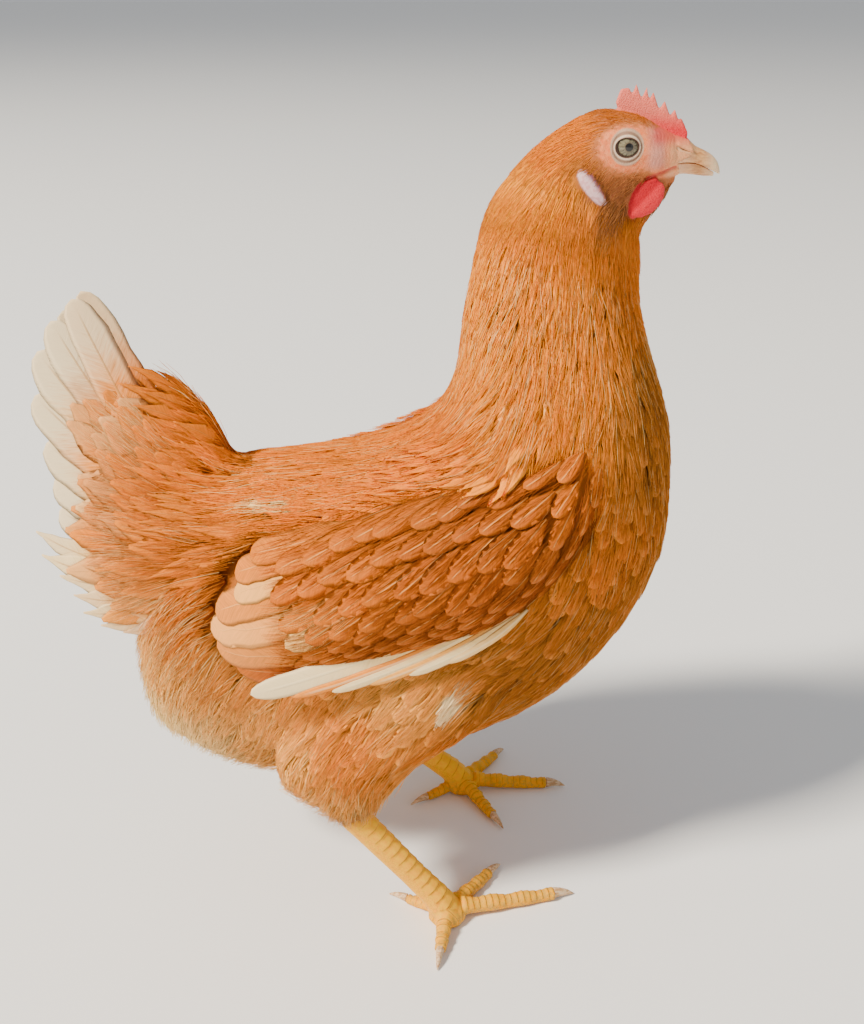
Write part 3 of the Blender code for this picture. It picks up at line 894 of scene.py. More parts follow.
def add_ball(centre, radius, segments, rings):
    """A sphere of so many millimetres, with its poles to the left and right."""
    bpy.ops.object.select_all(action="DESELECT")
    bpy.ops.mesh.primitive_uv_sphere_add(
        segments=segments,
        ring_count=rings,
        radius=radius * MM,
        location=centre,
        rotation=(math.pi / 2, 0, 0),
    )
    bpy.ops.object.transform_apply(location=True, rotation=True, scale=True)
    return bpy.context.object


def make_lid(side):
    centre = eye_centre(side)
    lid = add_ball(centre, LID_OUT, 64, 40)
    switch_to("EDIT")
    bpy.ops.mesh.select_mode(type="FACE")
    bpy.ops.mesh.select_all(action="DESELECT")
    switch_to("OBJECT")
    for face in lid.data.polygons:
        off = (face.center - centre) / MM
        face.select = off.y * SIDES[side] < LID_FROM or opening_share(off.x, off.z) < 1
    switch_to("EDIT")
    bpy.ops.mesh.delete(type="FACE")
    switch_to("OBJECT")
    apply_modifier(lid, "SOLIDIFY", thickness=LID_THICK * MM, offset=-1)
    return lid


lids = [make_lid(side) for side in SIDES]
print("lids:", [len(lid.data.polygons) for lid in lids])

# %% [markdown]
# The skin of the face runs on over the bill's base as the cere, so bill and face have no seam.
# It is a copy of the bill, a little swollen, cut off by bisecting where the horn starts: in
# front of the nostril, and along a slant above the mouth. Chin and jaw are soft balls, pulled
# long, that fill the corner between bill and wattles. A voxel remesh then melts it all together.
# %% Cere and fine head skin
HEAD_VOXEL = 0.6
SKIN_SWELL = 0.25
HEAD_NODES = ["head", "comb", "wattle_left", "wattle_right", "earlobe_left", "earlobe_right"]
CERE_CUTS = {  # node: places on each cutting plane and the way it faces, in the side view
    "beak_upper": [((117.5, 391.0), (1.0, 0.25)), ((109.0, 387.0), (0.4, -1.0))],
    "beak_lower": [((112.2, 382.0), (1.0, 0.35))],
}
SOFT_PARTS = [  # middle x, y, z, half length, width and height, tilt
    (103.6, 0, 378.6, 7.8, 5.0, 4.6, -12),  # the chin
    (103.4, 0, 383.0, 9.4, 8.4, 3.3, -8),  # the jaw, beside the gape
]


def make_cere(node):
    cere = copy_nodes(node + "_cere", [node], 0.35)
    select_only(cere)
    switch_to("EDIT")
    for (x, z), (along_x, along_z) in CERE_CUTS[node]:
        at, facing = place(x, 0, z), (along_x, 0, along_z)
        bpy.ops.mesh.select_all(action="SELECT")
        bpy.ops.mesh.bisect(plane_co=at, plane_no=facing, use_fill=True, clear_outer=True)
    switch_to("OBJECT")
    return cere


def make_soft_part(x, y, z, length, width, height, tilt):
    """Flesh that fills the corner between bill and wattles."""
    bpy.ops.object.select_all(action="DESELECT")
    bpy.ops.mesh.primitive_uv_sphere_add(segments=48, ring_count=32, radius=MM)
    part = bpy.context.object
    part.scale = (length, width, height)
    part.rotation_euler = (0, math.radians(tilt), 0)
    part.location = place(x, y, z)
    bpy.ops.object.transform_apply(location=True, rotation=True, scale=True)
    return part


head_skin = copy_nodes("head_skin", HEAD_NODES, SKIN_SWELL)
soft_parts = [make_soft_part(*row) for row in SOFT_PARTS]
select_only(head_skin, *lids, *soft_parts, *[make_cere(node) for node in CERE_CUTS])
bpy.ops.object.join()
melt(head_skin, HEAD_VOXEL, 3)
print("head skin faces:", len(head_skin.data.polygons))

# %% [markdown]
# A leg is bare from the hock down: one shank and four toes, each a solid of its own. Swollen
# copies overlap at the foot, and a remesh joins them, so the toes grow out of it without a crease.
# %% Fine leg skin
LEG_VOXEL = 0.9
TOES = ["middle", "inner", "outer", "hind"]
leg_skins = []
for side in SIDES:
    leg_nodes = [f"shank_{side}", *[f"toe_{toe}_{side}" for toe in TOES]]
    leg_skins.append(melt(copy_nodes(f"leg_skin_{side}", leg_nodes, SKIN_SWELL), LEG_VOXEL, 4))
print("leg skin faces:", [len(leg.data.polygons) for leg in leg_skins])

# %% [markdown]
# Where a piece of skin lies decides how it looks. On the legs each bone's front carries scutes,
# overlapping plates like roof tiles, so a line is drawn along each bone, and a place's distance
# along it says where it lies in its plate. Comb, wattle or shank is told by the nearest solid,
# and the bare face round the eye by an outline in the side view.
# %% Places on the skin
EYE_HEIGHT = (eye_low.z + eye_high.z) / 2 / MM
HOCKS = {"right": (-41, -59, 68), "left": (-45, 54, 61)}
FEET = {"right": (8, -59, 8), "left": (18.7, 56.5, 8)}
TOE_ROOT, TOE_TIP = 4.6, 3.6  # heights of a toe's line at its ends
SHANK_PLATE, TOE_PLATE = 6.2, 3.6  # lengths of one scute
LEG_LINES = {}
for side in SIDES:
    LEG_LINES[side] = [(place(*HOCKS[side]), place(*FEET[side]), SHANK_PLATE)]
    for toe in TOES:
        claw_low, claw_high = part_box(f"claw_{toe}_{side}")
        tip = (claw_low + claw_high) / 2
        start = place(*FEET[side][:2], TOE_ROOT)
        LEG_LINES[side].append((start, Vector((tip.x, tip.y, TOE_TIP * MM)), TOE_PLATE))


def near_node(points, node, reach):
    """1 on a node's own surface, falling to 0 at reach millimetres from it."""
    at, _ = Surface(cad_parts[node]).nearest(points)
    return 1 - smoothstep(reach * 0.4, reach, np.linalg.norm(points - at, axis=1) / MM)


def along_bones(points, normals):
    """For leg points: millimetres along the nearest bone, its plates' length, and how much the
    skin there faces its front."""
    best = np.full(len(points), 1e9)
    along = np.zeros(len(points))
    pitch = np.ones(len(points))
    front = np.zeros(len(points))
    for lines in LEG_LINES.values():
        for start, end, plate in lines:
            a, b = np.array(start), np.array(end)
            span = b - a
            share = np.clip((points - a) @ span / (span @ span), 0, 1)
            apart = np.linalg.norm(points - (a + share[:, None] * span), axis=1)
            closer = apart < best
            best[closer] = apart[closer]
            along[closer] = (share * np.linalg.norm(span) / MM)[closer]
            pitch[closer] = plate
            facing = unit(np.array([span]))[0]
            upward = np.array([0.75, 0, 0.65] if plate == SHANK_PLATE else [0, 0, 1.0])
            upward = unit(upward - facing * (upward @ facing))
            front[closer] = (normals @ upward)[closer]
    return along, pitch, front


def bare_share(points):
    """1 on the bare face round the eye and on to the bill, 0 on feathered skin."""
    own = own_measure(points)
    off_x, off_z = own[:, 0] - EYE_AT, own[:, 2] - EYE_HEIGHT
    tall = np.where(off_z > 0, 8.8, 10.5)
    back = np.hypot(off_x / np.where(off_x < 0, 13.0, 30.0), off_z / tall)
    forehead = 400.4 - 0.6 * (own[:, 0] - 98) + 30 * smoothstep(101.5, 104.5, own[:, 0])
    under = 1 - smoothstep(-0.8, 0.8, own[:, 2] - forehead)
    gape = 3.6 * smoothstep(10, 16, off_x)
    front = smoothstep(8, 12, off_x) * smoothstep(-11.5, -9.5, off_z + gape) * under
    ragged = 0.06 * np.sin(own[:, 2] * 1.9 + 1.3 * np.sin(own[:, 0] * 1.1))
    return np.clip(np.maximum(1 - smoothstep(0.88 + ragged, 1.1 + ragged, back), front), 0, 1)


print("bones in each leg:", [len(lines) for lines in LEG_LINES.values()])

# %% [markdown]
# The three skins become one by a union, which leaves a single closed surface, where a plain
# join would leave each piece's end inside its neighbour.
# %% Unite the skin
HEAD_FROM, LEG_TO = 340, 76  # heights
for piece in (head_skin, *leg_skins):
    apply_modifier(body_skin, "BOOLEAN", operation="UNION", solver="MANIFOLD", object=piece)
    bpy.data.objects.remove(piece)
skin = body_skin
skin.data.shade_smooth()
points, normals = vertex_array(skin.data), normal_array(skin.data)
own = own_measure(points)
is_head = own[:, 2] > HEAD_FROM
is_leg = own[:, 2] < LEG_TO
print("united skin faces:", len(skin.data.polygons))

# %% [markdown]
# Masks could be painted, but paint is lost when the shape changes. These are worked out: each
# point learns how near it is to comb and wattles, earlobe and bare leg. The earlobe's front
# side fades along a slanted line, as hers does into the cheek.
# %% Zones of the skin
LOBE_FRONT = (71.3, 380.3)  # x, z
LOBE_SLANT = (0.79, 0.62)
zone = np.zeros((len(points), 4))
zone[:, 3] = 1
head_points = points[is_head]
zone[is_head, 0] = near_node(head_points, "comb", 1.6)
for side in SIDES:
    zone[is_head, 0] = np.maximum(zone[is_head, 0], near_node(head_points, f"wattle_{side}", 1.2))
    zone[is_head, 1] = np.maximum(zone[is_head, 1], near_node(head_points, f"earlobe_{side}", 1.5))
bare_leg = np.zeros(len(points))
for side in SIDES:
    for node in (f"shank_{side}", *[f"toe_{toe}_{side}" for toe in TOES]):
        bare_leg[is_leg] = np.maximum(bare_leg[is_leg], near_node(points[is_leg], node, 2.5))
zone[:, 2] = bare_leg
off_lobe = (own[:, 0] - LOBE_FRONT[0]) * LOBE_SLANT[0] + (own[:, 2] - LOBE_FRONT[1]) * LOBE_SLANT[1]
low_end = smoothstep(382, 373, own[:, 2])
zone[:, 1] *= 1 - smoothstep(0.9 - 1.2 * low_end, 2.6 - 1.2 * low_end, off_lobe)
print("points on red skin, lobes and legs:", (zone[:, :3] > 0.5).sum(0))

# %% [markdown]
# A lid's folds run round the eye. So each point on a lid learns its share of the way from the
# opening's rim to the outer fold, and creases are later raised at fixed shares.
# %% The lids' own measure
LID_EDGE = 7.25  # how far from the eye's middle the outer fold of the lids lies
lid_at = np.full(len(points), 9.0)  # 0 at the opening's rim, 1 at the outer fold
from_eye = np.full(len(points), 1e3)
for side in SIDES:
    off = (points - np.array(eye_centre(side))) / MM
    outward = (off[:, 1] * SIDES[side] > 0) & is_head
    ring = np.hypot(off[:, 0], off[:, 2])
    tall = np.where(off[:, 2] > 0, OPENING_TOP, OPENING_BOTTOM)
    rim = ring / np.maximum(np.hypot(off[:, 0] / OPENING_HALF_WIDTH, off[:, 2] / tall), 1e-3)
    lid_at = np.where(outward, np.minimum(lid_at, (ring - rim) / (LID_EDGE - rim)), lid_at)
    from_eye = np.where(outward, np.minimum(from_eye, ring), from_eye)
print("points on the lids:", (lid_at < 1).sum())

# %% [markdown]
# The face is bare, wrinkled skin. Wrinkles in a bump map alone would vanish at the outline and
# in a bare mesh, so they are moved into the skin itself, by fractions of a millimetre: folds on
# the lids, ripples round the eye and on the lore, grains on the comb, a dish in each wattle,
# the mouth, the nostril under its flap, and the scutes of the legs.
# %% Folds, wrinkles and scutes
MOUTH_LINE = (95.5, 381.2), (109.5, 385.4)
NOSTRIL_LINE = (110.2, 393.8), (117.0, 391.0)
FLAP_LINE = (110.5, 395.3), (117.4, 392.6)
WATTLE_FOLD = (85, 366), (101, 383)


def fold(value, at, width):
    """A soft bump of height 1 at a place, and 0 from width away."""
    return np.clip(1 - ((value - at) / width) ** 2, 0, 1) ** 2


def beside_line(points, start, end):
    """Millimetres from a line in the side view."""
    own = own_measure(points)[:, [0, 2]]
    start, end = np.array(start), np.array(end)
    span = end - start
    share = np.clip((own - start) @ span / (span @ span), 0, 1)
    return np.linalg.norm(own - (start + share[:, None] * span), axis=1)


along, pitch, front = along_bones(points, normals)
plate = (along / pitch) % 1.0
on_lid = 1 - smoothstep(1.0, 1.25, lid_at)
face = is_head * (1 - zone[:, 0]) * (1 - on_lid) * (own[:, 0] > 62)
lids_relief = 0.22 * fold(lid_at, 0.3, 0.28) - 0.3 * fold(lid_at, 0.66, 0.26)
lids_relief = lids_relief + 0.2 * fold(lid_at, 1.0, 0.2)
ripple = np.sin(from_eye * 2.9 + np.sin(own[:, 0] * 0.9) * 1.3 + own[:, 2] * 0.5)
round_eye = smoothstep(7.8, 9.0, from_eye) * (1 - smoothstep(12, 17, from_eye))
wrinkle = face * ripple * 0.10 * round_eye
lore = face * smoothstep(93, 97, own[:, 0]) * smoothstep(383, 386, own[:, 2])
lines = np.sin(own[:, 0] * 3.6 + np.sin(own[:, 2] * 0.8) * 1.6)
lines = lines * np.sin(own[:, 2] * 0.55 + own[:, 0] * 0.3)
wrinkle = wrinkle * (1 - lore) + lore * 0.09 * lines
comb_share = zone[:, 0] * (own[:, 2] > 392)
folds = np.sin(own[:, 0] * 2.4 + np.sin(own[:, 2] * 0.9 + own[:, 1]) * 1.4)
pebble = comb_share * 0.07 * folds * (1 - smoothstep(402, 410, own[:, 2]))
wattle_share = zone[:, 0] * (own[:, 2] < 390)
from_fold = beside_line(points, *WATTLE_FOLD)
dish = wattle_share * (-0.7) * (1 - smoothstep(2.5, 5.0, from_fold))
from_mouth = beside_line(points, *MOUTH_LINE)
mouth = is_head * (0.25 * fold(from_mouth, 1.7, 0.9) - 0.75 * fold(from_mouth, 0, 1.0))
from_nostril = beside_line(points, *NOSTRIL_LINE)
flap = beside_line(points, *FLAP_LINE)
nostril = is_head * (0.55 * fold(flap, 0, 1.5) - 1.5 * fold(from_nostril, 0, 0.85))
scute = bare_leg * smoothstep(-0.1, 0.35, front) * (plate**0.7 - 0.55) * 0.55
relief = is_head * lids_relief + wrinkle + pebble + dish + mouth + nostril + scute
set_vertices(skin.data, points + normals * (relief * MM)[:, None])
print("relief, lowest and highest, in mm:", relief.min().round(2), relief.max().round(2))

# %% [markdown]
# The material needs all this again, so it is kept on the skin's points under five names.
# %% What the skin keeps for its material
tint = body_chart.read(points)[3]
add_attribute(skin.data, "zone", zone)
bone = np.column_stack([along / pitch, np.clip(front, -1, 1), lid_at])
add_attribute(skin.data, "bone", bone)
creases = [fold(from_mouth, 0, 1.3), fold(from_nostril, 0, 1.0), 1 - smoothstep(2.5, 5.5, from_fold)]
add_attribute(skin.data, "crease", np.column_stack(creases) * is_head[:, None])
add_attribute(skin.data, "bare", bare_share(points) * is_head)
add_attribute(skin.data, "tint", np.column_stack([tint, np.ones(len(tint))]))
print("skin triangles:", sum(len(f.vertices) - 2 for f in skin.data.polygons))

# %% [markdown]
# One material dresses the whole skin, because it is one piece, and separate ones would meet in
# hard lines. Masks kept on its points mix the finishes: scarlet comb and wattles, with painted
# shade in each wattle's fold, a flushed face with a near-black nostril painted as shade, beige
# lids with painted shade at their rim and in their crease, a violet-white earlobe with painted
# shade darkening its front, yellow scaled legs, and elsewhere the plumage's own ground colour
# darkened by half as painted shade, for the rare gap between feathers. Each finish is a function
# of its own. In `skin_at` are what they share: places in millimetres and three sizes of noise.
# %% Finishes of the skin
# Painted shade for skin seen between feathers: the plumage's ground colour is darkened by half
# towards this brown.
GAP_SHADE = (0.16, 0.05, 0.015)


def face_finish(shade, skin_at):
    """Feathered ground, darkened by half as painted shade for the gaps between feathers, and over it
    the flushed bare face with its cere, lore and brow.
    """
    own_x, own_z, broad, medium, fine = skin_at
    # painted shade deep between the feathers
    ground = shade.mix(shade.attribute("tint", "Color"), GAP_SHADE, 0.5)
    flush = shade.mix((0.80, 0.18, 0.055), (0.84, 0.27, 0.11), medium.step(0.3, 0.7))
    flush = shade.mix(flush, (0.66, 0.12, 0.06), broad.step(0.5, 0.8) * 0.4)
    lore = own_x.step(93, 99) * own_x.step(107, 101) * own_z.step(383, 388)
    flush = shade.mix(flush, (0.66, 0.31, 0.25), lore * 0.7)
    cere = own_x.step(102, 109) * own_z.step(377, 380)
    flush = shade.mix(flush, shade.mix((0.80, 0.30, 0.14), (0.84, 0.42, 0.20), fine), cere)
    brow = (own_x + medium * 8.0).step(98, 105) * own_z.step(393, 399)
    flush = shade.mix(flush, (0.66, 0.045, 0.04), brow * 0.75)
    cheek = own_z.step(386, 376) * own_x.step(106, 102)
    ruddy = shade.mix((0.44, 0.13, 0.035), (0.30, 0.09, 0.03), cheek)
    ground = shade.mix(ground, ruddy, own_z.step(352, 364) * own_x.step(62, 72))
    return shade.mix(ground, flush, shade.attribute("bare"))


def lobe_finish(shade, skin_at):
    """The earlobe, violet-white and violet towards its front rim, blotched with red; the darker
    violet at the front is painted shade on its inner curve.
    """
    own_x, own_z, _, medium, _ = skin_at
    off_lobe = (own_x - LOBE_FRONT[0]) * LOBE_SLANT[0] + (own_z - LOBE_FRONT[1]) * LOBE_SLANT[1]
    off_lobe = off_lobe + medium
    # painted shade: the lobe darkens to deep violet towards its front rim, over its pale violet-white
    # colour
    violet = shade.mix((0.74, 0.48, 0.50), (0.42, 0.17, 0.25), off_lobe.step(-0.3, 1.6))
    return shade.mix(violet, (0.60, 0.26, 0.26), medium.step(0.5, 0.62) * 0.6)


def comb_finish(shade, skin_at, wattle_fold):
    """Comb and wattles: scarlet, paler towards the comb's teeth, and darker red in the wattle's fold,
    which is painted shade in its hollow.
    """
    _, own_z, _, medium, fine = skin_at
    scarlet = shade.mix((0.66, 0.014, 0.030), (0.76, 0.045, 0.050), fine.step(0.3, 0.7))
    tips = own_z.step(399, 410) * own_z.step(380, 390)
    scarlet = shade.mix(scarlet, shade.mix((0.80, 0.15, 0.10), (0.84, 0.25, 0.17), fine), tips * 0.85)
    # painted shade: the wattle's hollow along its fold is darkened to deep red
    painted_fold_shade = wattle_fold * own_z.step(389, 384) * 0.85
    scarlet = shade.mix(scarlet, (0.40, 0.004, 0.012), painted_fold_shade)
    blotches = medium.step(0.45, 0.3) * (1 - tips) * 0.5
    return shade.mix(scarlet, (0.48, 0.008, 0.016), blotches)


def lid_finish(shade, skin_at, lid_at):
    """Beige lids with a pale inner ring; the dark rim at the opening and the brown crease outside the
    ring are painted shade, in the crevice against the eye and in the lid's groove.
    """
    *_, fine = skin_at
    beige = shade.mix((0.46, 0.27, 0.17), (0.58, 0.40, 0.28), fine)
    inner = lid_at.step(0.1, 0.25) * lid_at.step(0.45, 0.3)
    beige = shade.mix(beige, (0.72, 0.54, 0.40), inner)
    # painted shade in the groove of the lid
    crease = lid_at.step(0.42, 0.55) * lid_at.step(0.9, 0.78) * 0.8
    beige = shade.mix(beige, (0.24, 0.13, 0.085), crease)
    # painted shade in the crevice where the lid meets the eye
    return shade.mix(beige, (0.055, 0.03, 0.022), 1 - lid_at.step(0.04, 0.2))


def leg_finish(shade, skin_at, cracks, front, groove):
    """Yellow legs: grooves between scutes in front, a net of cracks behind, dirt at the soles."""
    _, own_z, _, medium, _ = skin_at
    yellow = shade.mix((0.94, 0.38, 0.002), (0.95, 0.48, 0.006), medium.step(0.3, 0.65))
    yellow = shade.mix(yellow, (0.55, 0.20, 0.01), groove * 0.75)
    yellow = shade.mix(yellow, (0.60, 0.24, 0.02), cracks.step(0.12, 0.02) * (1 - front) * 0.5)
    dirt = own_z.step(14, 2) * medium.step(0.42, 0.6) * 0.55
    return shade.mix(yellow, (0.33, 0.20, 0.09), dirt)


print("skin finishes: face, lobe, comb, lid, leg")

# %% [markdown]
# The finishes are laid one over another, each through its own mask, and the bump gathers pits,
# grain and the plates' edges, so the skin is never smoother than its folds.
# %% The skin material


def make_skin_material():
    shade = Shade("hen_skin", 0.5, 0.14)
    red_zone, lobe, leg = shade.split(shade.attribute("zone", "Color"))
    plate_at, facing, lid_at = shade.split(shade.attribute("bone", "Vector"))
    mouth, nostril, wattle_fold = shade.split(shade.attribute("crease", "Vector"))
    here = shade.place()
    x, _, own_z = shade.split(here)
    broad = shade.noise(here, 0.12, 3.0)
    medium = shade.noise(here, 0.45, 4.0, 0.6)
    fine = shade.noise(here, 1.9, 3.0, 0.6)
    pits = shade.cells(here, 2.4)
    grain = shade.cells(here, 1.5)
    cracks = shade.cells(here, 0.62, "DISTANCE_TO_EDGE")
    front = facing.step(-0.1, 0.35)
    plate_share = plate_at.math("FRACT", plate_at)
    groove = plate_share.step(0.86, 0.97) * front

    skin_at = (x - MIDDLE, own_z, broad, medium, fine)
    colour = face_finish(shade, skin_at)
    colour = shade.mix(colour, lobe_finish(shade, skin_at), lobe)
    colour = shade.mix(colour, comb_finish(shade, skin_at, wattle_fold), red_zone)
    colour = shade.mix(colour, (0.55, 0.06, 0.05), mouth * 0.75)
    # painted shade: the nostril's opening is coloured near-black
    colour = shade.mix(colour, (0.05, 0.018, 0.012), nostril.step(0.2, 0.7) * 0.9)
    colour = shade.mix(colour, lid_finish(shade, skin_at, lid_at), 1 - lid_at.step(1.02, 1.35))
    colour = shade.mix(colour, leg_finish(shade, skin_at, cracks, front, groove), leg)
    shade.set("Base Color", colour)
    shade.set("Roughness", 0.58 - 0.14 * red_zone - 0.16 * leg + 0.1 * fine)
    relief = pits * 0.3 + fine * 0.3 + grain * red_zone * 0.5 + (1 - groove) * leg * 0.9
    shade.set("Normal", shade.bump(relief + medium * 0.3, 0.45))
    shade.set("Subsurface Weight", 0.12)
    shade.set("Subsurface Radius", (1.0, 0.35, 0.2))
    shade.set("Subsurface Scale", 0.003)
    return shade.material


skin.data.materials.clear()
skin.data.polygons.foreach_set("material_index", np.zeros(len(skin.data.polygons), np.int32))
FLESH = ["trunk", "neck", "head", "comb"]
for side in SIDES:
    FLESH += [f"{part}_{side}" for part in ("wing", "thigh", "shank", "wattle", "earlobe")]
    FLESH += [f"toe_{toe}_{side}" for toe in TOES]
dress(skin, make_skin_material(), *FLESH, slot="face_skin")
print("skin stands for", len(FLESH), "nodes")

# %% [markdown]
# The eye is a finer ball than the frame's, in the same place, with a slight bulge for the
# cornea. Iris and pupil could be discs inside a clear shell, but so small an eye shows no depth.
# So pupil, iris and dark rim are rings of colour by distance from the eye's axis, kept on its
# points in millimetres, under a clear wet coat.
# %% Eyes
PUPIL, IRIS = 1.75, 4.7
GAZE = (0.10, 0.02)  # how far the pupil sits forwards and upwards, as a share of the ball
PUPIL_BLACK = (0.006, 0.005, 0.004)
CORNEA = 0.35  # millimetres that it stands out


def make_eye_material():
    shade = Shade("wet_eye", 0.15, 0.25)
    ring, around, _ = shade.split(shade.attribute("gaze", "Vector"))
    rays = shade.noise(shade.vector(around * 5.0, ring * 0.5, 0.0), 1.0, 3.0, 0.6)
    iris = shade.mix((0.065, 0.05, 0.028), (0.21, 0.18, 0.105), rays.step(0.3, 0.65))
    iris = shade.mix(iris, (0.12, 0.085, 0.05), 1 - (ring - PUPIL).size().step(0.1, 0.7))
    colour = shade.mix(PUPIL_BLACK, iris, ring.step(PUPIL - 0.12, PUPIL + 0.15))
    colour = shade.mix(colour, (0.035, 0.025, 0.018), ring.step(IRIS - 0.5, IRIS + 0.25))
    shade.set("Base Color", colour)
    shade.set("Coat Weight", 0.6)
    shade.set("Coat Roughness", 0.03)
    return shade.material


def make_eye(side, material):
    centre = eye_centre(side)
    eye = add_ball(centre, EYE_BALL, 72, 48)
    eye.name = eye.data.name = f"eyeball_{side}"
    eye.data.shade_smooth()
    points = vertex_array(eye.data)
    axis = unit(np.array([[GAZE[0], SIDES[side], GAZE[1]]]))[0]
    off = (points - np.array(centre)) / MM
    ahead = off @ axis
    flat = off - ahead[:, None] * axis
    ring = np.linalg.norm(flat, axis=1)
    ring = np.where(ahead > 0, ring, EYE_BALL)
    bulge = CORNEA * (1 - smoothstep(0, IRIS + 1, ring)) * (ahead > 0)
    set_vertices(eye.data, points + axis * (bulge * MM)[:, None])
    around = np.arctan2(flat[:, 2], flat[:, 0])
    add_attribute(eye.data, "gaze", np.column_stack([ring, around, ring * 0]))
    dress(eye, material, f"eye_{side}", slot="eye")


eye_material = make_eye_material()
for side in SIDES:
    make_eye(side, eye_material)
print("eyes made")

# %% [markdown]
# Bill and claws are horn. Subdividing the solids would keep their facets as dents, so a copy of
# each is remeshed finely and smoothed until the facets are gone. The bill is pinkish and
# skin-like where it leaves the face, honey-coloured on the ridge and pale at its tip.
# %% Horn


def make_horn_material():
    shade = Shade("horn", 0.42, 0.5)
    here = shade.place()
    x, _, z = shade.split(here)
    front = x.step(111 + MIDDLE, 121 + MIDDLE) * z.step(300, 310)
    lengthwise = shade.noise(shade.place((0.25, 1.0, 1.0)), 0.8, 3.0, 0.6)
    fine = shade.noise(here, 1.6, 3.0)
    horn = shade.mix((0.50, 0.20, 0.060), (0.74, 0.38, 0.14), lengthwise.step(0.35, 0.65))
    horn = shade.mix(horn, (0.84, 0.60, 0.36), x.step(121 + MIDDLE, 131 + MIDDLE))
    cere = shade.mix((0.68, 0.34, 0.17), (0.78, 0.46, 0.26), fine)
    is_bill = z.step(300, 310)
    colour = shade.mix(horn, shade.mix(cere, horn, front), is_bill)
    claw = shade.mix((0.50, 0.28, 0.12), (0.74, 0.52, 0.30), lengthwise.step(0.4, 0.6))
    colour = shade.mix(claw, colour, is_bill)
    shade.set("Base Color", colour)
    shade.set("Roughness", 0.5 - 0.14 * front + 0.12 * fine)
    shade.set("Normal", shade.bump(lengthwise * 0.6 + fine * 0.4, 0.25))
    shade.set("Subsurface Weight", 0.1)
    shade.set("Subsurface Scale", 0.002)
    return shade.material


def make_horn(node, voxel, rounds, material):
    piece = melt(copy_nodes(node + "_horn", [node]), voxel, rounds)
    piece.data.shade_smooth()
    dress(piece, material, node, slot="horn")


horn_material = make_horn_material()
for node in ("beak_upper", "beak_lower"):
    make_horn(node, 0.3, 5, horn_material)
for side in SIDES:
    for toe in TOES:
        make_horn(f"claw_{toe}_{side}", 0.35, 4, horn_material)
print("horn pieces made")

# %% [markdown]
# Wings and tail are blades, and their feathers reach past the blades' edges, where they would
# fold round onto the back. So each blade gets a sheet: a grid whose sideways place is taken from
# the blade's outer face by rays, where there is a blade, and carried on beyond it as a stiff
# ruler would, by making its bends as small as they can be. Feathers on it then overhang cleanly.
# %% Sheets over wings and tail
SHEET_STEP = 4.0
SHEET_MARGIN = 26.0
SHEET_STIFFNESS = 0.6
RAY_FROM = 0.3  # metres to the side, well clear of the hen
ROUNDS, CLOSE_ENOUGH = 900, 1e-18


def bending(grid):
    """How strongly each place of a grid is pulled by the bends round it."""
    pull = np.zeros_like(grid)
    for line, pulled in ((grid.T, pull.T), (grid, pull)):
        bend = line[:-2] - 2 * line[1:-1] + line[2:]
        pulled[:-2] += bend
        pulled[1:-1] -= 2 * bend
        pulled[2:] += bend
    twist = 2 * (grid[:-1, :-1] - grid[:-1, 1:] - grid[1:, :-1] + grid[1:, 1:])
    pull[:-1, :-1] += twist
    pull[:-1, 1:] -= twist
    pull[1:, :-1] -= twist
    pull[1:, 1:] += twist
    return pull


def relax(known, heights):
    """The smoothest grid through the known heights, by conjugate gradients."""
    grid = np.full(known.shape, heights[known].mean())
    left = known * (heights - grid) - SHEET_STIFFNESS * bending(grid)
    step = left.copy()
    size = (left * left).sum()
    for _ in range(ROUNDS):
        change = known * step + SHEET_STIFFNESS * bending(step)
        reach = size / (step * change).sum()
        grid = grid + reach * step
        left = left - reach * change
        fresh = (left * left).sum()
        if fresh < CLOSE_ENOUGH:
            break
        step = left + fresh / size * step
        size = fresh
    return grid


def from_side(surface, side, x, z):
    """Where a ray from the hen's side meets a surface, or None."""
    return surface.tree.ray_cast((x, SIDES[side] * RAY_FROM, z), (0, -SIDES[side], 0))[0]


def make_sheet(node, side):
    """A smooth sheet over a blade's outer face, reaching past its edges."""
    solid = Surface(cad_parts[node])
    low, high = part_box(node)
    margin, step = SHEET_MARGIN * MM, SHEET_STEP * MM
    columns = round((high.x - low.x + 2 * margin) / step) + 1
    rows = round((high.z - low.z + 2 * margin) / step) + 1
    bpy.ops.object.select_all(action="DESELECT")
    bpy.ops.mesh.primitive_grid_add(x_subdivisions=columns - 1, y_subdivisions=rows - 1, size=1)
    sheet = bpy.context.object
    flat = vertex_array(sheet.data)
    points = np.zeros_like(flat)
    points[:, 0] = low.x - margin + (flat[:, 0] + 0.5) * (columns - 1) * step
    points[:, 2] = low.z - margin + (flat[:, 1] + 0.5) * (rows - 1) * step
    known = np.zeros(len(points), bool)
    for i, (x, _, z) in enumerate(points.tolist()):
        at = from_side(solid, side, x, z)
        if at:
            known[i], points[i, 1] = True, at.y
    order = np.lexsort((points[:, 0].round(6), points[:, 2].round(6))).reshape(rows, columns)
    points[order, 1] = relax(known[order], points[order, 1])
    set_vertices(sheet.data, points)
    surface = Surface(sheet)
    if surface.normals[:, 1].mean() * SIDES[side] < 0:
        surface.normals = -surface.normals
    bpy.data.objects.remove(sheet)
    return surface


wing_sheets, tail_sheets, quill_sheets = (
    {side: make_sheet(f"{part}_{side}", side) for side in SIDES}
    for part in ("wing", "tail", "wing_quills")
)
wing_blades, tail_blades = (
    {side: Surface(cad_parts[f"{part}_{side}"]) for side in SIDES} for part in ("wing", "tail")
)
print("sheets:", [len(sheet.faces) for sheet in (*wing_sheets.values(), *tail_sheets.values())])

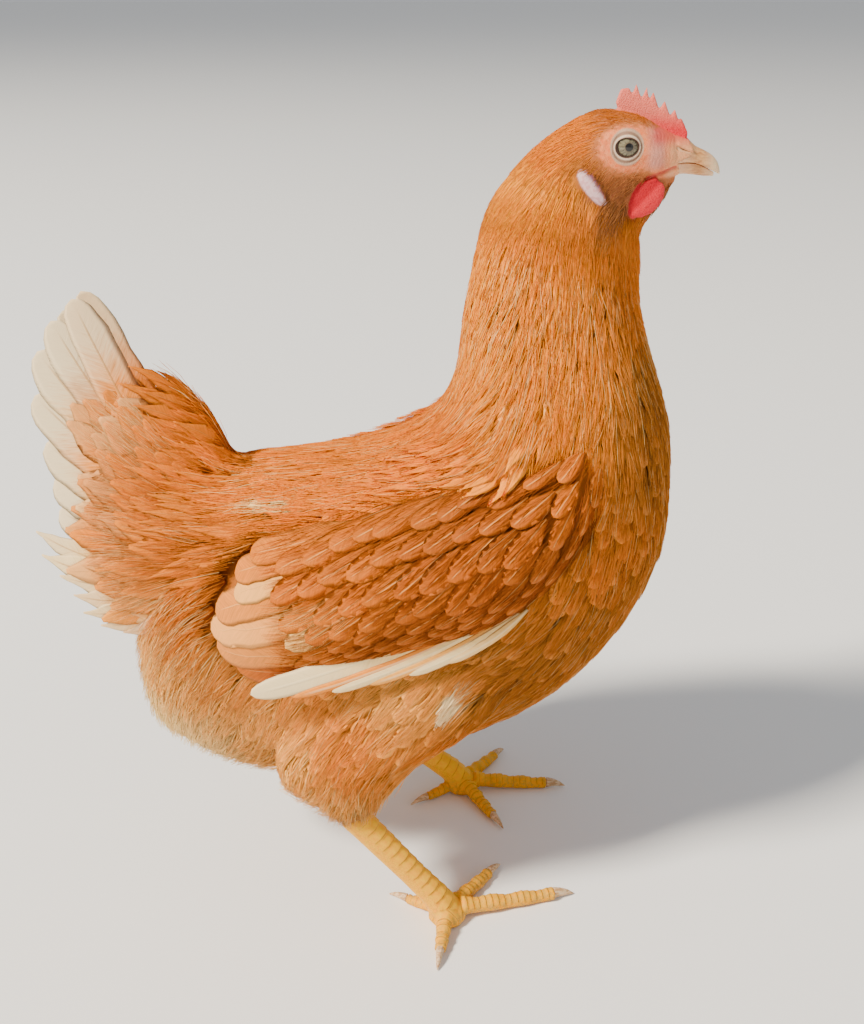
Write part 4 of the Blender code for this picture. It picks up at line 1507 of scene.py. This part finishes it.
# %% [markdown]
# Two more smooth forms fill the dips that feathers bridge: one runs from the back out over the
# wings, for the cape, and one from the rump up into the tail, for the saddle. More rounds of
# smoothing fill a dip further.
# %% Forms under cape and saddle
WINGS, TAILS = ["wing_left", "wing_right"], ["tail_left", "tail_right"]
cape_form = make_form("cape_form", [*FORM_NODES, *WINGS], FORM_VOXEL, 16)
cape = Surface(cape_form)
rear_form = make_form("rear_form", ["trunk", *TAILS, *WINGS], FORM_VOXEL, 40)
rear = Surface(rear_form)
skin_surface = Surface(skin)
print("faces under cape and saddle:", len(cape.faces), len(rear.faces))

# %% [markdown]
# The body coat covers breast, back, belly and thighs down to the hocks, and the neck up to a
# slanting collar behind the head. None grows where a wing lies over the body, since nothing
# there is ever seen. A few feathers have come out white or cream, which makes this hen herself.
# %% Where the body coat grows
HOCK_TOP = 66
UNDER_WING_REACH = 0.03  # metres


def under_wing(points, normals):
    over = np.zeros(len(points), bool)
    for side in SIDES:
        over |= wing_blades[side].covers(points + normals * MM, normals, UNDER_WING_REACH)
    return over


def above_collar(points):
    """Millimetres above the line where the head's skin stands free of the neck's plumage."""
    own = own_measure(points)
    return own[:, 2] - (380 - 0.36 * (own[:, 0] - 30))


def body_keep(points, normals):
    shown = (own_measure(points)[:, 2] > HOCK_TOP) & (above_collar(points) < 7)
    return shown & ~under_wing(points, normals)


PALE_MARKS = [  # x, z, how far it reaches along and across, colour
    (-96, 180, 8, 6, "cream"),
    (-58, 186, 6, 3, "straw"),
    (-62, 252, 6, 2.0, "cream"),
    (-80, 232, 7, 3, "cream"),
    (90, 200, 5, 4, "cream"),
    (6, 142, 6, 3.5, "white"),
]


def marked(roots, length, chart, tint):
    """Ground colours, with those of the feathers that show at a pale mark changed."""
    direction, *_ = chart.read(roots)
    shown = own_measure(roots)[:, [0, 2]] + direction[:, [0, 2]] * (0.7 * length)[:, None]
    tint = tint.copy()
    for x, z, reach, breadth, colour in PALE_MARKS:
        off = shown - np.array([x, z])
        along = (off * direction[:, [0, 2]]).sum(1)
        aside = off[:, 0] * direction[:, 2] - off[:, 1] * direction[:, 0]
        chosen = np.hypot(along / reach, aside / breadth) < 1
        tint[chosen] = tint[chosen] * 0.15 + np.array(COLOURS[colour]) * 0.85
    return tint


print("pale marks:", len(PALE_MARKS))

# %% [markdown]
# Contour feathers clothe breast, back and flanks; from the shoulders up they turn into hackles,
# narrow lances that overlap far and carry a cream stripe on some. Combed hair alone would look
# like a mammal's coat, so the feathers lie beneath, flat and close, as the rows melt together on
# a live bird.
# %% Contour feathers and hackles
HACKLES_FROM, HACKLES_BLEND = 272, 8  # height where hackles take over, and how far it wavers
body_material = plumage("body_plumage", shaft=0.1, streaky=0.4)
hackle_material = plumage("hackle_plumage", 0.25, 0.45, (0.92, 0.60, 0.26), 0.5)


def feather_spacing(points):
    return np.maximum(body_chart.read(points)[2] * 0.58, 1.6)


def vane_look(chart, roots, share, long, wide, turn, rise, spread=0.04):
    """Looks of vanes: a share of the chart's length, length and width between two shares more,
    how far they turn at random, and between which heights their tips rise."""
    _, length, width, tint = chart.read(roots)
    count = len(roots)
    return {
        "length": length * share * rng.uniform(*long, count),
        "width": width * rng.uniform(*wide, count),
        "turn": rng.normal(0, turn, count),
        "rise": rng.uniform(*rise, count),
        "tint": varied(tint, spread, 0.02),
    }


def body_look(roots):
    look = vane_look(body_chart, roots, 1.0, (0.9, 1.2), (0.95, 1.15), 0.08, (-0.15, 0.1))
    look.update(sink=0.1 * body_chart.read(roots)[1], thick=0.1, camber=0.05, fray=0.3)
    look["edge"] = rng.uniform(0.0, 0.1, len(roots))
    return look


roots = scatter(body, feather_spacing, body_keep, 60000)
look = body_look(roots)
on_neck = own_measure(roots)[:, 2] > HACKLES_FROM + rng.normal(0, HACKLES_BLEND, len(roots))
look["streak"] = on_neck * (rng.random(len(roots)) < 0.28) * rng.uniform(0.4, 1.0, len(roots))
look["tint"] = marked(roots, look["length"], body_chart, look["tint"])
body_feathers = {"roots": roots, **look}
for name, outline, chosen, material in (
    ("body_feathers", "contour", ~on_neck, body_material),
    ("hackles", "hackle", on_neck, hackle_material),
):
    coat = lay(name, "vane", outline, body, roots[chosen], some(look, chosen), body_chart)
    dress(coat, material)

# %% [markdown]
# What is seen from a step away is hardly any feather but the lie of the barbs: their soft ends
# break up and hide every feather's edge. So fine strands are combed over the feathers. Each
# belongs to the feather whose root is nearest, shares its shade and its turn, and leans towards
# its tip, so the strands gather into soft points that still say feather.
# %% Strands combed over feathers
STRAND_PIECE = 9000  # strands in one piece, to keep each under its triangle limit
STRAND_PALE = np.array(COLOURS["cream"]) * 0.95
strand_material = plumage("strand_plumage", shaft=0.0, streaky=0.2)


def lay_strands(name, surface, roots, look, chart):
    dress(lay(name, "hair", "hair", surface, roots, look, chart, hug=False), strand_material)


def comb(name, surface, chart, feathers, roots, look, gather=0.7):
    """Strands on a surface. Each ends near the tip of the feather it belongs to, and leans
    towards its shaft, or away from it where gather is negative."""
    owners = KDTree(len(feathers["roots"]))
    for number, point in enumerate(feathers["roots"]):
        owners.insert(point, number)
    owners.balance()
    at, up = surface.nearest(feathers["roots"])
    heading = chart.heading(at, up, feathers["turn"])
    middles = roots - chart.heading(*surface.nearest(roots)) * (0.3 * MM * look["length"])[:, None]
    owner = np.array([owners.find(point)[1] for point in middles.tolist()])
    across = np.cross(up, heading)
    off = roots - at[owner]
    ahead = feathers["length"][owner] - (off * heading[owner]).sum(1) / MM
    aside = np.clip((off * across[owner]).sum(1) / MM, -8, 8)
    lean = -np.arctan2(aside * gather, np.maximum(ahead, 10))
    look = dict(look)
    shortest, longest = 0.5 * look["length"], 1.4 * look["length"]
    look["length"] = np.clip(ahead * rng.uniform(0.8, 1.15, len(roots)), shortest, longest)
    look["turn"] = look["turn"] + feathers["turn"][owner] + lean
    ground = feathers["tint"][owner] * look["level"]
    look["tint"] = np.clip(ground + (STRAND_PALE - ground) * look["pale"], 0, 0.95)
    pieces = math.ceil(len(roots) / STRAND_PIECE)
    for number, part in enumerate(np.array_split(np.argsort(roots[:, 0]), pieces)):
        full = f"{name}_{number + 1}" if pieces > 1 else name
        lay_strands(full, surface, roots[part], some(look, part), chart)


def strand_look(roots, chart, pale_share=0.1):
    """Looks of strands: longer, looser and paler where the coat turns to fluff, round the vent
    and down the thighs, and paler on the neck."""
    own = own_measure(roots)
    _, length, _, tint = chart.read(roots)
    count = len(roots)
    fluff = smoothstep(-80, -130, own[:, 0]) * (own[:, 2] < 190)
    fluff = np.clip(fluff + smoothstep(118, 84, own[:, 2]) * (own[:, 0] < -10), 0, 1)
    neck = smoothstep(272, 292, own[:, 2]) * smoothstep(366, 346, own[:, 2])
    pale_share = (pale_share + 0.10 * neck + 0.4 * fluff)[:, None]
    return {
        "length": np.clip(length * 0.9, 5, 30) * rng.uniform(0.8, 1.2, count) * (1 + 0.25 * fluff),
        "width": rng.uniform(0.3, 0.72, count) * np.clip(length / 18, 0.5, 1),
        "turn": rng.normal(0, 0.09, count),
        "sink": 0.2,
        "rise": rng.uniform(0.1, 0.85, count) + 4.2 * fluff * rng.random(count),
        "thick": 0.2,
        "tint": varied(tint, 0.10, 0.04),
        "level": 1 + rng.normal(0, 0.1, (count, 1)),
        "pale": (rng.random((count, 1)) < pale_share) * rng.uniform(0.2, 0.8, (count, 1)),
    }


def strand_spacing(points):
    return 1.58 * np.clip(body_chart.read(points)[1] / 20, 0.5, 1)


roots = scatter(body, strand_spacing, body_keep, 260000)
look = strand_look(roots, body_chart)
comb("strands", body, body_chart, body_feathers, roots, look)

# %% [markdown]
# A folded wing shows rows of coverts, each with a fine pale shaft, over long secondaries whose
# tips make its rear edge. Forward they point steeply down; towards the tail they lie flatter.
# Strewn like the body's, they would look ruffled, so their roots stand in rows, each shifted by
# half a feather, and every feather leans on the one behind.
# %% Wing coverts
COVERT_ROWS = (226, 10.0, 10.4)  # which way the rows follow, and steps along and across them
NEAR_BLADE = 3.0
WING_CHART = [
    ("shoulder", 74, 252, 244, 20, 10.0, "rust"),
    ("wing front", 66, 228, 238, 26, 12.0, "copper"),
    ("wing top", 40, 256, 228, 30, 13.0, "rufous"),
    ("wing middle", 28, 222, 232, 34, 14.0, "rufous"),
    ("wing low front", 44, 200, 226, 28, 12.0, "copper"),
    ("wing back top", -20, 236, 222, 38, 15.0, "rust"),
    ("wing low", 0, 185, 215, 34, 14.0, "copper"),
    ("wing back", -40, 205, 218, 42, 16.0, "rust"),
    ("wing rear top", -72, 214, 212, 44, 15.0, "orange"),
    ("wing rear", -85, 180, 210, 44, 17.0, "orange"),
]
wing_chart = Chart(WING_CHART)
wing_material = plumage("wing_plumage", 0.55, 0.6, (0.90, 0.42, 0.12), 0.36)


def near_blade(blade, points, reach=NEAR_BLADE):
    """True where a point lies within reach millimetres of a blade."""
    at, _ = blade.nearest(points)
    return np.linalg.norm(at - points, axis=1) < reach * MM


def rows_on(sheet, side, keep):
    """Roots in rows, each row shifted by half a feather, as coverts grow."""
    angle, along, across = COVERT_ROWS
    low, high = own_measure([sheet.points.min(0), sheet.points.max(0)])
    middle, reach = (low + high) / 2, np.linalg.norm(high - low) / 2
    ahead = np.array([math.cos(math.radians(angle)), math.sin(math.radians(angle))])
    beside = np.array([-ahead[1], ahead[0]])
    made = []
    for row in range(-int(reach / along), int(reach / along) + 1):
        for column in range(-int(reach / across), int(reach / across) + 1):
            off = row * along * ahead + (column + 0.5 * (row % 2)) * across * beside
            off = off + rng.normal(0, 0.07, 2) * across
            x, _, z = place(middle[0] + off[0], 0, middle[2] + off[1])
            hit = from_side(sheet, side, x, z)
            if hit:
                made.append(hit)
    at, up = sheet.nearest(made)
    return at[keep(at, up)]


def lay_wing(side):
    sheet, blade = wing_sheets[side], wing_blades[side]

    def ahead_of_tips(points, normals):
        own = own_measure(points)
        return near_blade(blade, points) & (own[:, 0] > -50 + 0.25 * (240 - own[:, 2]))

    roots = rows_on(sheet, side, ahead_of_tips)
    count = len(roots)
    room = np.clip((own_measure(roots)[:, 2] - 140) / 42, 0.5, 1)
    look = vane_look(wing_chart, roots, room, (0.93, 1.07), (0.9, 1.0), 0.03, (0.06, 0.1), 0.06)
    look.update(sink=1.7, thick=0.05, camber=0.1, tilt=-SIDES[side] * 0.13)
    length = wing_chart.read(roots)[1] * room
    look["tint"] = marked(roots, length, wing_chart, look["tint"])
    look["edge"] = (rng.random(count) < 0.25) * rng.uniform(0.0, 0.3, count)
    coat = lay(f"wing_coverts_{side}", "vane", "contour", sheet, roots, look, wing_chart)
    dress(coat, wing_material)
    feathers = {"roots": roots, **look}

    def on_coverts(points, normals):
        return near_blade(blade, points) & (own_measure(points)[:, 0] > -72)

    roots = scatter(sheet, every(1.9), on_coverts, 24000)
    look = strand_look(roots, wing_chart, 0.03)
    look["length"] *= 0.5
    look["width"] *= 0.42
    look["rise"] = rng.uniform(0.05, 0.22, len(roots))
    comb(f"wing_strands_{side}", sheet, wing_chart, feathers, roots, look, -0.6)


for side in SIDES:
    lay_wing(side)

# %% [markdown]
# Secondaries and primaries are long quills, few enough to be placed one by one. Each row of the
# tables is one feather, from root to tip, and the whole row lies on the wing's sheet, later
# feathers under earlier ones. The primaries stand for the frame's own quill nodes.
# %% Secondaries and primaries
SECONDARIES = [  # root x, z, tip x, z, width, colour, pale tip
    (-36, 236, -90, 220, 15, "amber", 0.0),
    (-34, 228, -98, 209, 16, "amber", 0.1),
    (-30, 220, -92, 196, 15, "peach", 0.6),
    (-26, 212, -106, 187, 19, "amber", 0.2),
    (-20, 203, -109, 176, 20, "orange", 0.65),
    (-12, 196, -105, 167, 21, "amber", 0.25),
    (2, 190, -94, 158, 21, "rust", 0.0),
    (24, 184, -52, 157, 16, "copper", 0.0),
    (36, 188, -28, 163, 14, "copper", 0.0),
]
PRIMARIES = [  # root x, z, tip x, z, width, colour, pale tip
    (26, 194, -86, 149.5, 13, "cream", 0.7),
    (30, 190, -66, 149.5, 5, "orange", 0.0),
    (32, 190, -48, 153, 6, "cream", 0.5),
    (36, 189, -30, 157, 5, "peach", 0.0),
    (40, 190, -12, 162, 6, "cream", 0.5),
    (44, 192, 6, 168, 5, "straw", 0.3),
]
quill_material = plumage("quill_plumage", 0.4, 0.25, (0.92, 0.74, 0.44), 0.7)


def lay_quills(name, side, rows, sheet, rises, look, material, node=None, bow=2.0, outline="quill"):
    """Long feathers between given ends. `rises` are the first and the last tip's heights over
    the sheet, and bow is millimetres sideways at the middle."""
    starts = np.array([place(row[0], 0, row[1]) for row in rows])
    ends = np.array([place(row[2], 0, row[3]) for row in rows])
    for points in (starts, ends):
        points[:, 1] = SIDES[side] * 0.06
        points[:] = sheet.nearest(points)[0]
    blank = blanks["quill"]
    line, ups = between(sheet, starts, ends, blank.along, np.full(len(rows), float(bow)))
    look = {
        "width": np.array([row[4] for row in rows], float),
        "tint": varied(np.array([COLOURS[row[5]] for row in rows]), 0.03, 0.02),
        "tip": np.array([row[6] for row in rows], float),
        "sink": 2.2,
        "rise": np.linspace(rises[0], rises[1], len(rows)),
        "thick": 0.22,
        "camber": 0.7,
        "fray": 0.05,
        **look,
    }
    coat = build_coat(name, blank, OUTLINES[outline], line, ups, look, sheet)
    nodes = [node] if node else []
    dress(coat, material, *nodes, slot="cream_plumage")


for side in SIDES:
    look = {"edge": 0.2, "camber": 0.1, "thick": 0.12, "fray": 0.08, "sink": 1.6}
    look["tilt"] = -SIDES[side] * 0.2
    name, sheet = f"secondaries_{side}", wing_sheets[side]
    lay_quills(name, side, SECONDARIES, sheet, (-0.1, -1.4), look, wing_material, bow=4.0)
    look = {"edge": 0.1, "camber": 0.5, "sink": 5.0}
    name, sheet, node = f"primaries_{side}", quill_sheets[side], f"wing_quills_{side}"
    lay_quills(name, side, PRIMARIES, sheet, (0.2, -2.0), look, quill_material, node)

# %% [markdown]
# Over the top edge of the folded wing hangs the cape, feathers of the shoulder that leave the
# body there and stand a little off the wing, so that a dark shadow lies under their ends. Their
# last third runs straight, free of the form, which is what opens that gap.
# %% The cape over the wing's top
CAPE_LINE = [(-70, 236), (-40, 240), (-10, 247), (20, 262), (44, 272)]  # x, z of the roots' middle
CAPE_FREE_FROM = 0.7


def lay_cape(side):
    sign = SIDES[side]

    def keep(points, normals):
        x, y, z = own_measure(points).T
        off = z - np.interp(x, *np.array(CAPE_LINE).T)
        return (x > -72) & (x < 46) & (off > -7) & (off < 12) & (y * sign > 25)

    roots = scatter(cape, every(5.2), keep, 9000)
    count = len(roots)
    look = body_look(roots)
    front = smoothstep(-40, 10, own_measure(roots)[:, 0])
    look["length"] = (24 + 6 * front) * rng.uniform(0.85, 1.15, count)
    look["width"] = np.full(count, 10.0)
    look["turn"] = rng.normal(0, 0.06, count) + sign * 0.12
    look["rise"] = 0.4 + front * rng.uniform(1.5, 4.0, count)
    look["edge"] = rng.uniform(0.0, 0.4, count)
    name = f"cape_{side}"
    coat = lay(name, "vane", "hackle", cape, roots, look, body_chart, CAPE_FREE_FROM)
    dress(coat, body_material)
    feathers = {"roots": roots, **look}
    roots = scatter(cape, every(1.3), keep, 60000)
    look = strand_look(roots, body_chart)
    look["rise"] += 3.4 * smoothstep(-40, 10, own_measure(roots)[:, 0])
    comb(f"cape_strands_{side}", cape, body_chart, feathers, roots, look)


for side in SIDES:
    lay_cape(side)

# %% [markdown]
# The tail is a tent of broad rectrices with rounded white ends, and below them hang soft,
# pointed, upturned plumes. All of them spread from one place at the rump, so a table of angles
# and lengths says more than one of ends. They stand for the frame's two blades.
# %% Tail feathers
TAIL_FROM = (-92, 214)  # x, z of the place that the fan spreads from
RECTRICES = [  # angle, reach, width, colour, white tip
    (121.5, 141, 20, "orange", 0.9),
    (128, 139, 22, "amber", 1.0),
    (136, 134, 24, "peach", 1.0),
    (145, 124, 25, "orange", 1.0),
    (154, 111, 25, "peach", 1.0),
    (163, 103, 24, "straw", 1.0),
    (172, 100, 22, "peach", 1.0),
]
PLUMES = [  # angle, reach, width, colour, pale tip
    (179, 113, 20, "straw", 0.8),
    (186, 112, 21, "cream", 0.6),
    (194, 106, 21, "straw", 0.7),
    (202, 104, 21, "peach", 0.7),
    (209, 104, 21, "straw", 0.6),
    (216, 102, 20, "peach", 0.7),
    (224, 94, 19, "orange", 0.7),
    (233, 83, 18, "orange", 0.5),
]
RIB_BROWN = (0.50, 0.24, 0.07)
tail_material = plumage("tail_plumage", 0.55, 0.7, (0.84, 0.66, 0.40), 0.5, RIB_BROWN, (0.58, 0.88))


def fan_rows(rows, root_share):
    """Feather rows from angle and reach to root and tip places."""
    made = []
    for angle, reach, width, colour, tip in rows:
        away = np.array([math.cos(math.radians(angle)), math.sin(math.radians(angle))])
        root, end = (np.array(TAIL_FROM) + away * reach * share for share in (root_share, 1))
        made.append((*root, *end, width, colour, tip))
    return made


for side in SIDES:
    sheet = tail_sheets[side]
    look = {"edge": 0.3, "fray": 0.14, "camber": 0.45, "tilt": -SIDES[side] * 0.5}
    name, rows, node = f"rectrices_{side}", fan_rows(RECTRICES, 0.1), f"tail_{side}"
    lay_quills(name, side, rows, sheet, (1.2, -1.8), look, tail_material, node, 4.0)
    look = {"edge": 0.4, "fray": 0.3, "camber": 0.4, "thick": 0.15}
    name, rows = f"plumes_{side}", fan_rows(PLUMES, 0.2)
    lay_quills(name, side, rows, sheet, (-0.6, 1.0), look, tail_material, None, 11.0, "plume")

# %% [markdown]
# Coverts as orange as the back run up over the bases of the tail feathers and end in ragged
# lobes, with cream showing between them. Round-ended ones would look like a fish's scales here,
# so they are ovals that narrow early, under strands that fade to cream outwards.
# %% Tail coverts
TAIL_CHART = [
    ("tail root top", -106, 240, 140, 42, 16, "amber"),
    ("tail root", -100, 222, 168, 48, 18, "amber"),
    ("tail top", -124, 264, 128, 48, 17, "amber"),
    ("tail upper", -130, 250, 138, 52, 20, "amber"),
    ("tail middle", -135, 225, 165, 50, 21, "amber"),
    ("tail low", -130, 200, 192, 50, 20, "orange"),
    ("tail lowest", -112, 176, 218, 46, 18, "peach"),
    ("tail root low", -98, 196, 205, 44, 17, "amber"),
]
tail_chart = Chart(TAIL_CHART)
COVERT_REACH = 58


def tail_away(points):
    """How far places are from the tail's root, in millimetres, and at which angle in degrees."""
    own = own_measure(points)
    off_x, off_z = own[:, 0] - TAIL_FROM[0], own[:, 2] - TAIL_FROM[1]
    return np.hypot(off_x, off_z), np.degrees(np.arctan2(off_z, off_x)) % 360


def lay_tail_coverts(side):
    sheet = tail_sheets[side]

    def keep(points, normals):
        away, angle = tail_away(points)
        limit = COVERT_REACH * np.where(angle < 150, 1.25, 1.0)
        inside = angle > 121 + 9 * smoothstep(15, 60, away)
        return near_blade(tail_blades[side], points) & (away < limit) & inside

    roots = scatter(sheet, lambda points: tail_chart.read(points)[2] * 0.4, keep, 9000)
    away, angle = tail_away(roots)
    count = len(roots)
    outer = np.clip((away - 20) / 40, 0, 1)
    share = (1 - 0.35 * outer) * (1 - 0.35 * smoothstep(140, 125, angle))
    look = vane_look(tail_chart, roots, share, (0.8, 1.15), (0.85, 1.1), 0.08, (0.9, 1.3))
    look.update(sink=1.2, thick=0.08, camber=0.1, fray=0.25, tilt=-SIDES[side] * 0.3)
    look["edge"] = rng.uniform(0.0, 0.2, count)
    faded = smoothstep(0.5, 1.2, outer + rng.normal(0, 0.2, count))
    look["tip"] = faded * rng.uniform(0.3, 0.8, count)
    coat = lay(f"tail_coverts_{side}", "vane", "oval", sheet, roots, look, tail_chart)
    dress(coat, body_material)
    feathers = {"roots": roots, **look}
    roots = scatter(sheet, every(1.0), keep, 110000)
    away, _ = tail_away(roots)
    look = strand_look(roots, tail_chart)
    fade = smoothstep(38, 62, away + rng.normal(0, 7, len(roots)))[:, None] * 0.7
    look["pale"] = np.maximum(look["pale"], fade)
    look["length"] *= 0.6
    look["width"] *= 0.7
    look["rise"] = rng.uniform(1.1, 1.9, len(roots))
    comb(f"tail_strands_{side}", sheet, tail_chart, feathers, roots, look, -0.3)


for side in SIDES:
    lay_tail_coverts(side)

# %% [markdown]
# Where back and rump pass into the tail, long saddle feathers bridge the dip, so the line of
# the back runs on into the tail without a step. They lie on a form that has this dip filled.
# %% Saddle feathers over the tail's root
SADDLE_CHART = [
    ("back end", -70, 252, 180, 34, 11, "ginger"),
    ("saddle", -92, 244, 165, 38, 12, "ginger"),
    ("saddle top", -104, 252, 152, 34, 12, "amber"),
    ("saddle middle", -98, 226, 172, 40, 13, "amber"),
    ("rump side", -92, 208, 188, 40, 13, "amber"),
    ("rump low", -98, 188, 205, 40, 13, "amber"),
    ("rump lowest", -104, 168, 222, 34, 12, "orange"),
]
saddle_chart = Chart(SADDLE_CHART)
SADDLE_OFF_WING = 1.6


def saddle_keep(points, normals):
    own = own_measure(points)
    off = own[:, 0] + 92 + 0.2 * (own[:, 2] - 220)
    chosen = (np.abs(off) < 15) & (own[:, 2] > 162)
    for blade in wing_blades.values():
        chosen &= ~near_blade(blade, points, SADDLE_OFF_WING)
    return chosen


roots = scatter(rear, every(5.6), saddle_keep, 30000)
look = vane_look(saddle_chart, roots, 1.0, (0.85, 1.2), (0.9, 1.1), 0.08, (1.0, 2.0), 0.05)
look.update(sink=1.0, thick=0.1, camber=0.1, fray=0.3)
dress(lay("saddle_feathers", "vane", "hackle", rear, roots, look, saddle_chart), body_material)
feathers = {"roots": roots, **look}
roots = scatter(rear, every(1.25), saddle_keep, 160000)
look = strand_look(roots, saddle_chart)
look["rise"] = rng.uniform(0.8, 2.4, len(roots))
comb("saddle_strands", rear, saddle_chart, feathers, roots, look)

# %% [markdown]
# On the head the feathers are so small that they read as fine fur: a few millimetres long,
# swept back over the crown, down behind the ear and slanting back under the eye. Round the eye
# and on the lore the skin is nearly bare, with only short pale bristles. Vanes this small would
# be lost, so single strands do, far closer together than on the body.
# %% Head plumage
HEAD_TOP_FROM = 344  # height from which strands grow on the head's own skin
BRISTLE = (0.86, 0.46, 0.24)
HEAD_CHART = [
    ("forehead", 99, 399, 140, 3.5, 1, "rust"),
    ("brow", 92, 404, 160, 4.0, 1, "rust"),
    ("crown front", 80, 408, 178, 5.0, 1, "rust"),
    ("crown", 68, 404, 200, 7.0, 1, "ginger"),
    ("crown low", 72, 396, 200, 6.0, 1, "ginger"),
    ("crown back", 56, 396, 216, 9.0, 1, "ginger"),
    ("nape", 44, 384, 235, 12.0, 1, "gold"),
    ("ear tuft", 71, 388, 222, 5.0, 1, "shaded_tan"),
    ("behind ear", 58, 376, 250, 9.0, 1, "gold"),
    ("below ear", 68, 368, 255, 8.0, 1, "orange"),
    ("cheek", 86, 379, 212, 4.0, 1, "brown"),
    ("cheek back", 76, 380, 222, 5.0, 1, "brown"),
    ("jaw", 84, 369, 228, 6.0, 1, "brown"),
    ("throat", 94, 362, 250, 8.0, 1, "orange"),
    ("chin", 104, 373, 235, 4.5, 1, "brown"),
    ("chin front", 110, 377, 225, 3.5, 1, "brown"),
    ("neck side", 60, 354, 262, 12.0, 1, "gold"),
    ("neck front", 88, 350, 262, 10.0, 1, "gold"),
]
head_chart = Chart(HEAD_CHART, blur=4.0)
BARE_NODES = ["comb", "beak_upper", "beak_lower"]
for side in SIDES:
    BARE_NODES += [f"wattle_{side}", f"earlobe_{side}", f"eye_{side}"]


def head_keep(points, normals):
    own = own_measure(points)
    wanted = (own[:, 2] > HEAD_TOP_FROM) & (own[:, 0] > 34) & (own[:, 0] < 113)
    bare = np.zeros(len(points))
    for node in BARE_NODES:
        bare[wanted] = np.maximum(bare[wanted], near_node(points[wanted], node, 1.6))
    return wanted & (bare < 0.5)


def head_spacing(points):
    return 0.68 + 0.8 * bare_share(points)


roots = scatter(skin_surface, head_spacing, head_keep, 60000, HEAD_TOP_FROM)
bare = bare_share(roots)
x, _, z = own_measure(roots).T
front_edge = np.where(z < 379.5, 112, 106)
clear = (np.hypot(x - EYE_AT, z - EYE_HEIGHT) > 7.6) & (x < front_edge - 8 * bare)
roots, bare, x, z = roots[clear], bare[clear], x[clear], z[clear]
count = len(roots)
_, length, _, tint = head_chart.read(roots)
tuft = 1 - smoothstep(0.6, 1.0, np.hypot((x - 71) / 8, (z - 387) / 5.5))  # over the ear
length = length * (1 - bare) + 1.6 * bare
tint = tint + (np.array(BRISTLE) - tint) * (0.85 * bare)[:, None]
look = {
    "length": length * rng.uniform(0.8, 1.25, count),
    "width": (0.52 - 0.3 * bare) * rng.uniform(0.8, 1.2, count) * np.clip(length / 6, 0.75, 1.3),
    "turn": rng.normal(0, 0.12, count),
    "sink": 0.15,
    "rise": 0.25 + 0.5 * (1 - bare) * rng.random(count) + 1.0 * tuft * rng.random(count),
    "thick": 0.12,
    "tint": varied(tint, 0.14, 0.05),
}
collar = above_collar(roots)
at_collar = (collar < 11) & (z < 392)
look["length"] *= 1 + 0.9 * at_collar
look["rise"] += 0.6 * at_collar
lay_strands("head_fur", skin_surface, roots[~at_collar], some(look, ~at_collar), head_chart)
low = at_collar & (collar > -3)
lay_strands("collar_fur", body, roots[low], some(look, low), head_chart)

# %% [markdown]
# Where the head's fur ends, the neck's coat begins, and a bare ring would show between them. So
# a belt of strands, neither long nor short, grows below the collar and runs over the join.
# %% Strands below the collar


def collar_keep(points, normals):
    return (above_collar(points) > -20) & (above_collar(points) < 3)


roots = scatter(body, every(1.0), collar_keep, 60000, 330)
look = strand_look(roots, body_chart)
look["length"] = rng.uniform(9, 15, len(roots))
look["width"] = rng.uniform(0.35, 0.6, len(roots))
look["rise"] = rng.uniform(0.3, 1.0, len(roots))
lay_strands("neck_fur", body, roots, look, body_chart)

# %% [markdown]
# Every coat also carries the map `OFBake`, which says where on the skin each feather grows: the
# skin is unwrapped by its own shape, and a feather is a small patch at its root's place there.
# %% Where each feather grows, as a map
PATCH = 0.003
UNWRAP_ANGLE, UNWRAP_MARGIN = math.radians(70), 0.004


def unwrap_skin():
    """Unwraps the skin, and returns the place of each face's first corner."""
    select_only(skin)
    switch_to("EDIT")
    bpy.ops.mesh.select_all(action="SELECT")
    bpy.ops.uv.smart_project(angle_limit=UNWRAP_ANGLE, island_margin=UNWRAP_MARGIN)
    switch_to("OBJECT")
    layer = skin.data.uv_layers.active
    layer.name = "unwrap"
    places = np.empty(len(skin.data.loops) * 2, np.float32)
    layer.data.foreach_get("uv", places)
    starts = np.empty(len(skin.data.polygons), np.int32)
    skin.data.polygons.foreach_get("loop_start", starts)
    return places.reshape(-1, 2)[starts]


def map_feathers(coat, roots, vane, size, corners):
    """Writes OFBake on a coat: a patch for each feather, at its root's place on the skin."""
    faces = [skin_surface.tree.find_nearest(root)[2] for root in roots.tolist()]
    home = np.repeat(np.clip(corners[faces], PATCH, 1 - PATCH), size, axis=0)
    own = home + PATCH * np.column_stack([vane[:, 0] - 0.5, vane[:, 1] * 0.5])
    layer = coat.data.uv_layers.new(name="OFBake")
    at = np.empty(len(coat.data.loops), np.int32)
    coat.data.loops.foreach_get("vertex_index", at)
    layer.data.foreach_set("uv", own[at].astype(np.float32).ravel())


corners = unwrap_skin()
for coat, coat_roots, vane, size in coats:
    map_feathers(coat, coat_roots, vane, size, corners)
print("coats mapped:", len(coats))

# %% [markdown]
# The smooth forms were only there to lie feathers on, so they go before the finish.
# %% Finish
for form in (body_form, cape_form, rear_form):
    bpy.data.objects.remove(form)
